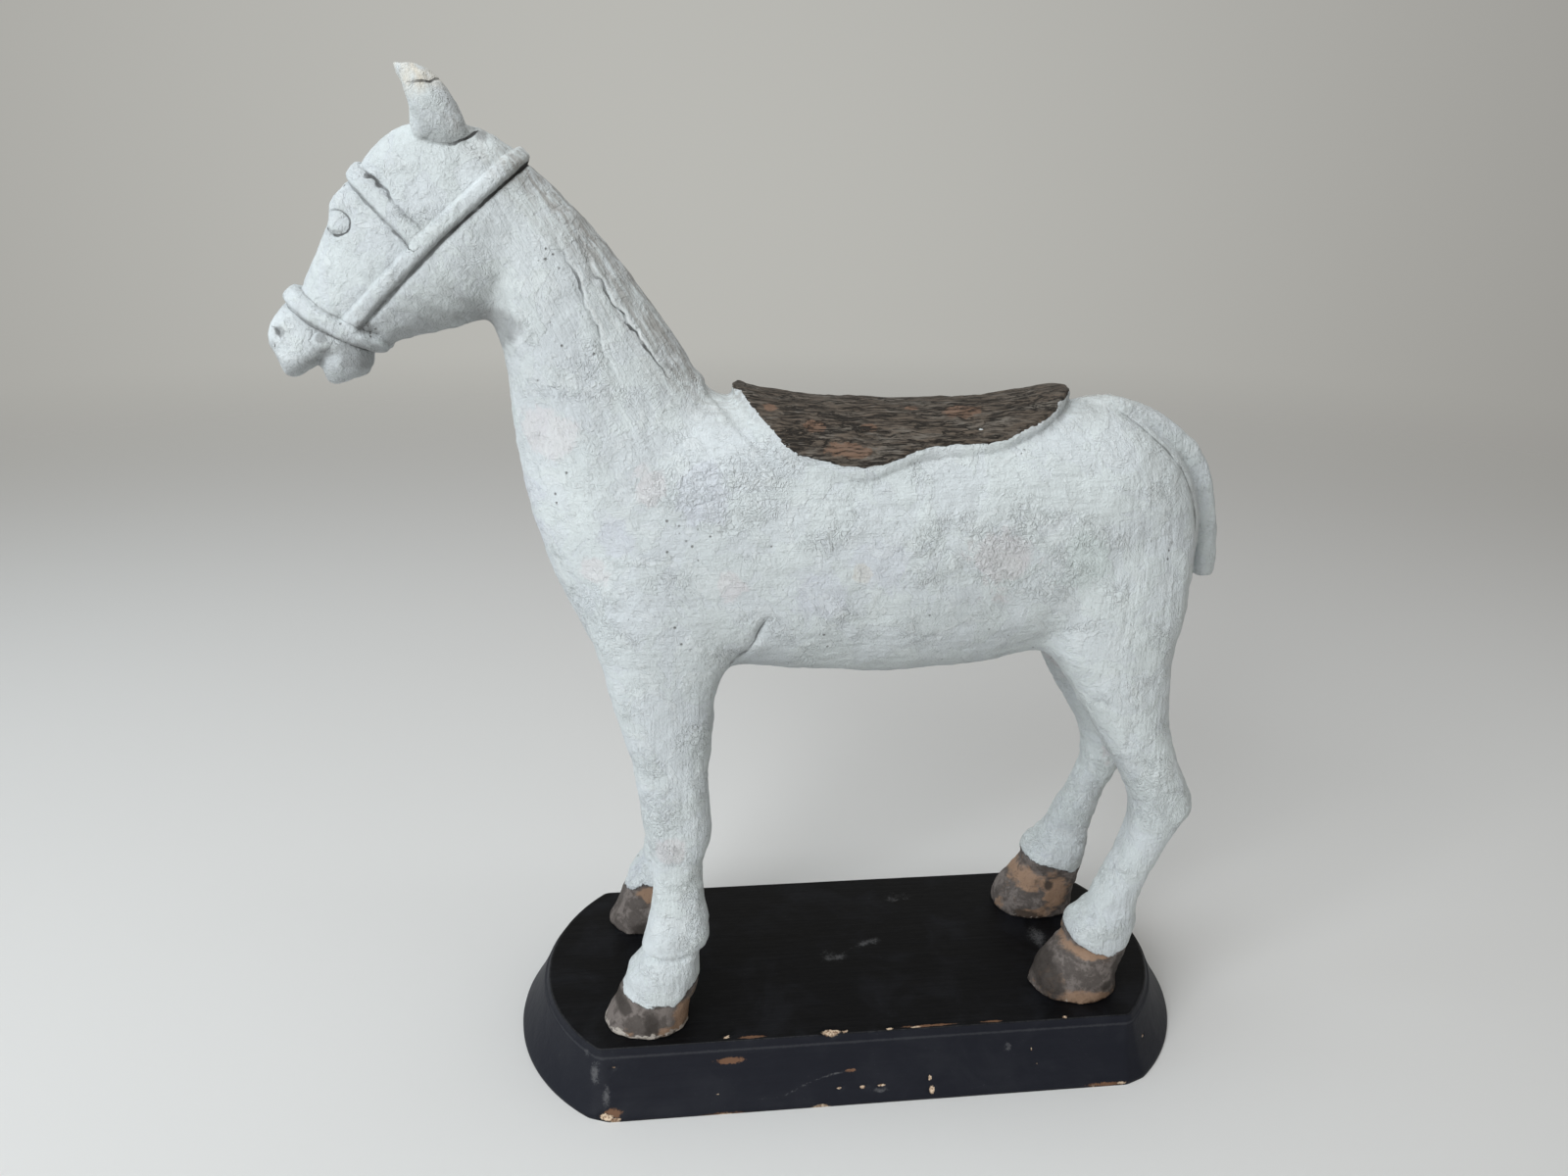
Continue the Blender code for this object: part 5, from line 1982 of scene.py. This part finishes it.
        # Marks the top, which is painted darker than the wall as painted reflection
        piece.note("painted_dark_top", ramp(p[:, 2], high - 0.4, high - 0.1))
        arrises = np.minimum(np.abs(p[:, 2] - high), np.abs(p[:, 2] - shoulder))
        at_edge = np.where(p[:, 2] > high - 0.1, ramp(piece.curvature(0), 0.0, 0.05), 1.0)
        piece.note("arris", ramp(arrises, 0.9, 0.0) * at_edge)
        piece.move(moved / MILLI)
        piece.wear(self.dress())
        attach(piece.obj, "root")
        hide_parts("plinth")
        return piece.obj


@dataclass(frozen=True)
class SoftLamp:
    """A square soft light, aimed at the middle of the horse."""

    name: str
    place: tuple[float, float, float]
    power: float
    colour: Colour
    size: float = 0.9
    aim: tuple[float, float, float] = (0.0, 0.0, 0.17)

    def build(self) -> bpy.types.Object:
        """Hangs the light.

        Returns:
            The light.
        """
        lamp = bpy.data.lights.new(self.name, "AREA")
        lamp.shape = "SQUARE"
        lamp.size = self.size
        lamp.energy = self.power
        lamp.color = self.colour
        obj = bpy.data.objects.new(self.name, lamp)
        obj.location = self.place
        obj.rotation_euler = (Vector(self.aim) - Vector(self.place)).to_track_quat("-Z", "Y").to_euler()
        bpy.context.scene.collection.objects.link(obj)
        return obj


@dataclass(frozen=True)
class Studio:
    """A plain pale floor that fades into the background, and soft light from above, the front and left."""

    floor_half: float = 6.0
    fade_start: float = 0.6
    fade_end: float = 2.2
    floor_colour: Colour = (0.78, 0.775, 0.76)
    floor_roughness: float = 0.8
    floor_specular: float = 0.2
    glow: Colour = (0.222, 0.212, 0.198)
    behind: Colour = (0.268, 0.275, 0.259)
    overhead: Colour = (0.070, 0.074, 0.076)
    lamps: tuple[SoftLamp, ...] = (
        SoftLamp("window", (-0.90, -0.98, 0.98), 15.3, (0.930, 0.965, 1.0)),
        SoftLamp("ceiling", (0.0, 0.0, 1.6), 6.8, (0.935, 0.970, 1.0)),
        SoftLamp("far_side", (-1.35, 0.1, 0.8), 3.0, (0.745, 0.896, 1.0)),
    )

    def floor(self) -> bpy.types.Object:
        """A level square at the height of the plinth's underside.

        Returns:
            The floor.
        """
        half = self.floor_half
        mesh = bpy.data.meshes.new("floor")
        corners = [(-half, -half, 0), (half, -half, 0), (half, half, 0), (-half, half, 0)]
        mesh.from_pydata(corners, [], [(0, 1, 2, 3)])
        tree = ShaderTree(bpy.data.materials.new("pale_floor"))
        tree.feed(tree.shader.inputs["Base Color"], self.floor_colour)
        tree.feed(tree.shader.inputs["Roughness"], self.floor_roughness)
        tree.feed(tree.shader.inputs["Specular IOR Level"], self.floor_specular)
        away = tree.node("ShaderNodeVectorMath", {"operation": "LENGTH"}, {0: tree.place}).outputs["Value"]
        tree.feed(tree.shader.inputs["Alpha"], Wire(tree, away).rise(self.fade_end, self.fade_start))
        mesh.materials.append(tree.owner)
        obj = bpy.data.objects.new("floor", mesh)
        bpy.context.scene.collection.objects.link(obj)
        return obj

    def surroundings(self) -> None:
        """An even glow, with more from behind (+Y) and a little from overhead, each as its cosine cubed."""
        tree = ShaderTree(bpy.data.worlds.new("soft_surroundings"))
        colour = self.glow
        for towards, extra in (((0.0, 1.0, 0.0), self.behind), ((0.0, 0.0, 1.0), self.overhead)):
            sockets = {0: tree.place, 1: towards}
            dot = tree.node("ShaderNodeVectorMath", {"operation": "DOT_PRODUCT"}, sockets)
            share = Wire(tree, dot.outputs["Value"]).math("MAXIMUM", 0.0).math("POWER", 3.0)
            sockets = {0: share, 1: extra, 2: colour}
            colour = tree.node("ShaderNodeVectorMath", {"operation": "MULTIPLY_ADD"}, sockets).outputs[0]
        tree.feed(tree.shader.inputs["Color"], colour)
        bpy.context.scene.world = tree.owner

    def build(self) -> None:
        """Sets the floor, the lights and the plain colour handling."""
        self.floor()
        self.surroundings()
        for lamp in self.lamps:
            lamp.build()
        bpy.context.scene.view_settings.view_transform = "Standard"
        log.info("studio: floor, %d soft lights and the glow of the surroundings", len(self.lamps))


@dataclass(frozen=True)
class PhotographCamera:
    """The camera where the photograph was taken from, in metres and radians."""

    place: tuple[float, float, float] = (-0.09156, -0.47529, 0.39004)
    yaw: float = -0.118012
    pitch: float = 0.349593
    roll: float = 0.016515
    lens: float = 27.0
    sensor: float = 36.0

    def build(self) -> bpy.types.Object:
        """Places the camera: turned by yaw from +Y, pitched down, then rolled about its own line of sight.

        Returns:
            The camera.
        """
        ahead = Vector((-np.sin(self.yaw), np.cos(self.yaw), 0))
        look = ahead * np.cos(self.pitch) - Vector((0, 0, np.sin(self.pitch)))
        level = Vector((np.cos(self.yaw), np.sin(self.yaw), 0))
        upright = level.cross(look)
        right = level * np.cos(self.roll) + upright * np.sin(self.roll)
        up = upright * np.cos(self.roll) - level * np.sin(self.roll)
        data = bpy.data.cameras.new("photograph")
        data.lens = self.lens
        data.sensor_width = self.sensor
        data.sensor_fit = "HORIZONTAL"
        data.clip_start = 0.02
        obj = bpy.data.objects.new("photograph", data)
        turn = Matrix((right, up, -look)).transposed()
        obj.matrix_world = Matrix.Translation(self.place) @ turn.to_4x4()
        bpy.context.scene.collection.objects.link(obj)
        bpy.context.scene.camera = obj
        return obj


def main() -> None:
    """Builds the camera, the studio, the plinth and the horse."""
    logging.basicConfig(level=logging.INFO, format="%(name)s: %(message)s")
    PhotographCamera().build()
    Studio().build()
    low, high = (np.array(corner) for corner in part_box("plinth"))
    Plinth(*(float(side) for side in high - low)).build()
    _, horse_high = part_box("horse")
    CarvedHorse(stand=float(high[2]), top=float(horse_high[2])).build()


if __name__ == "__main__":
    main()
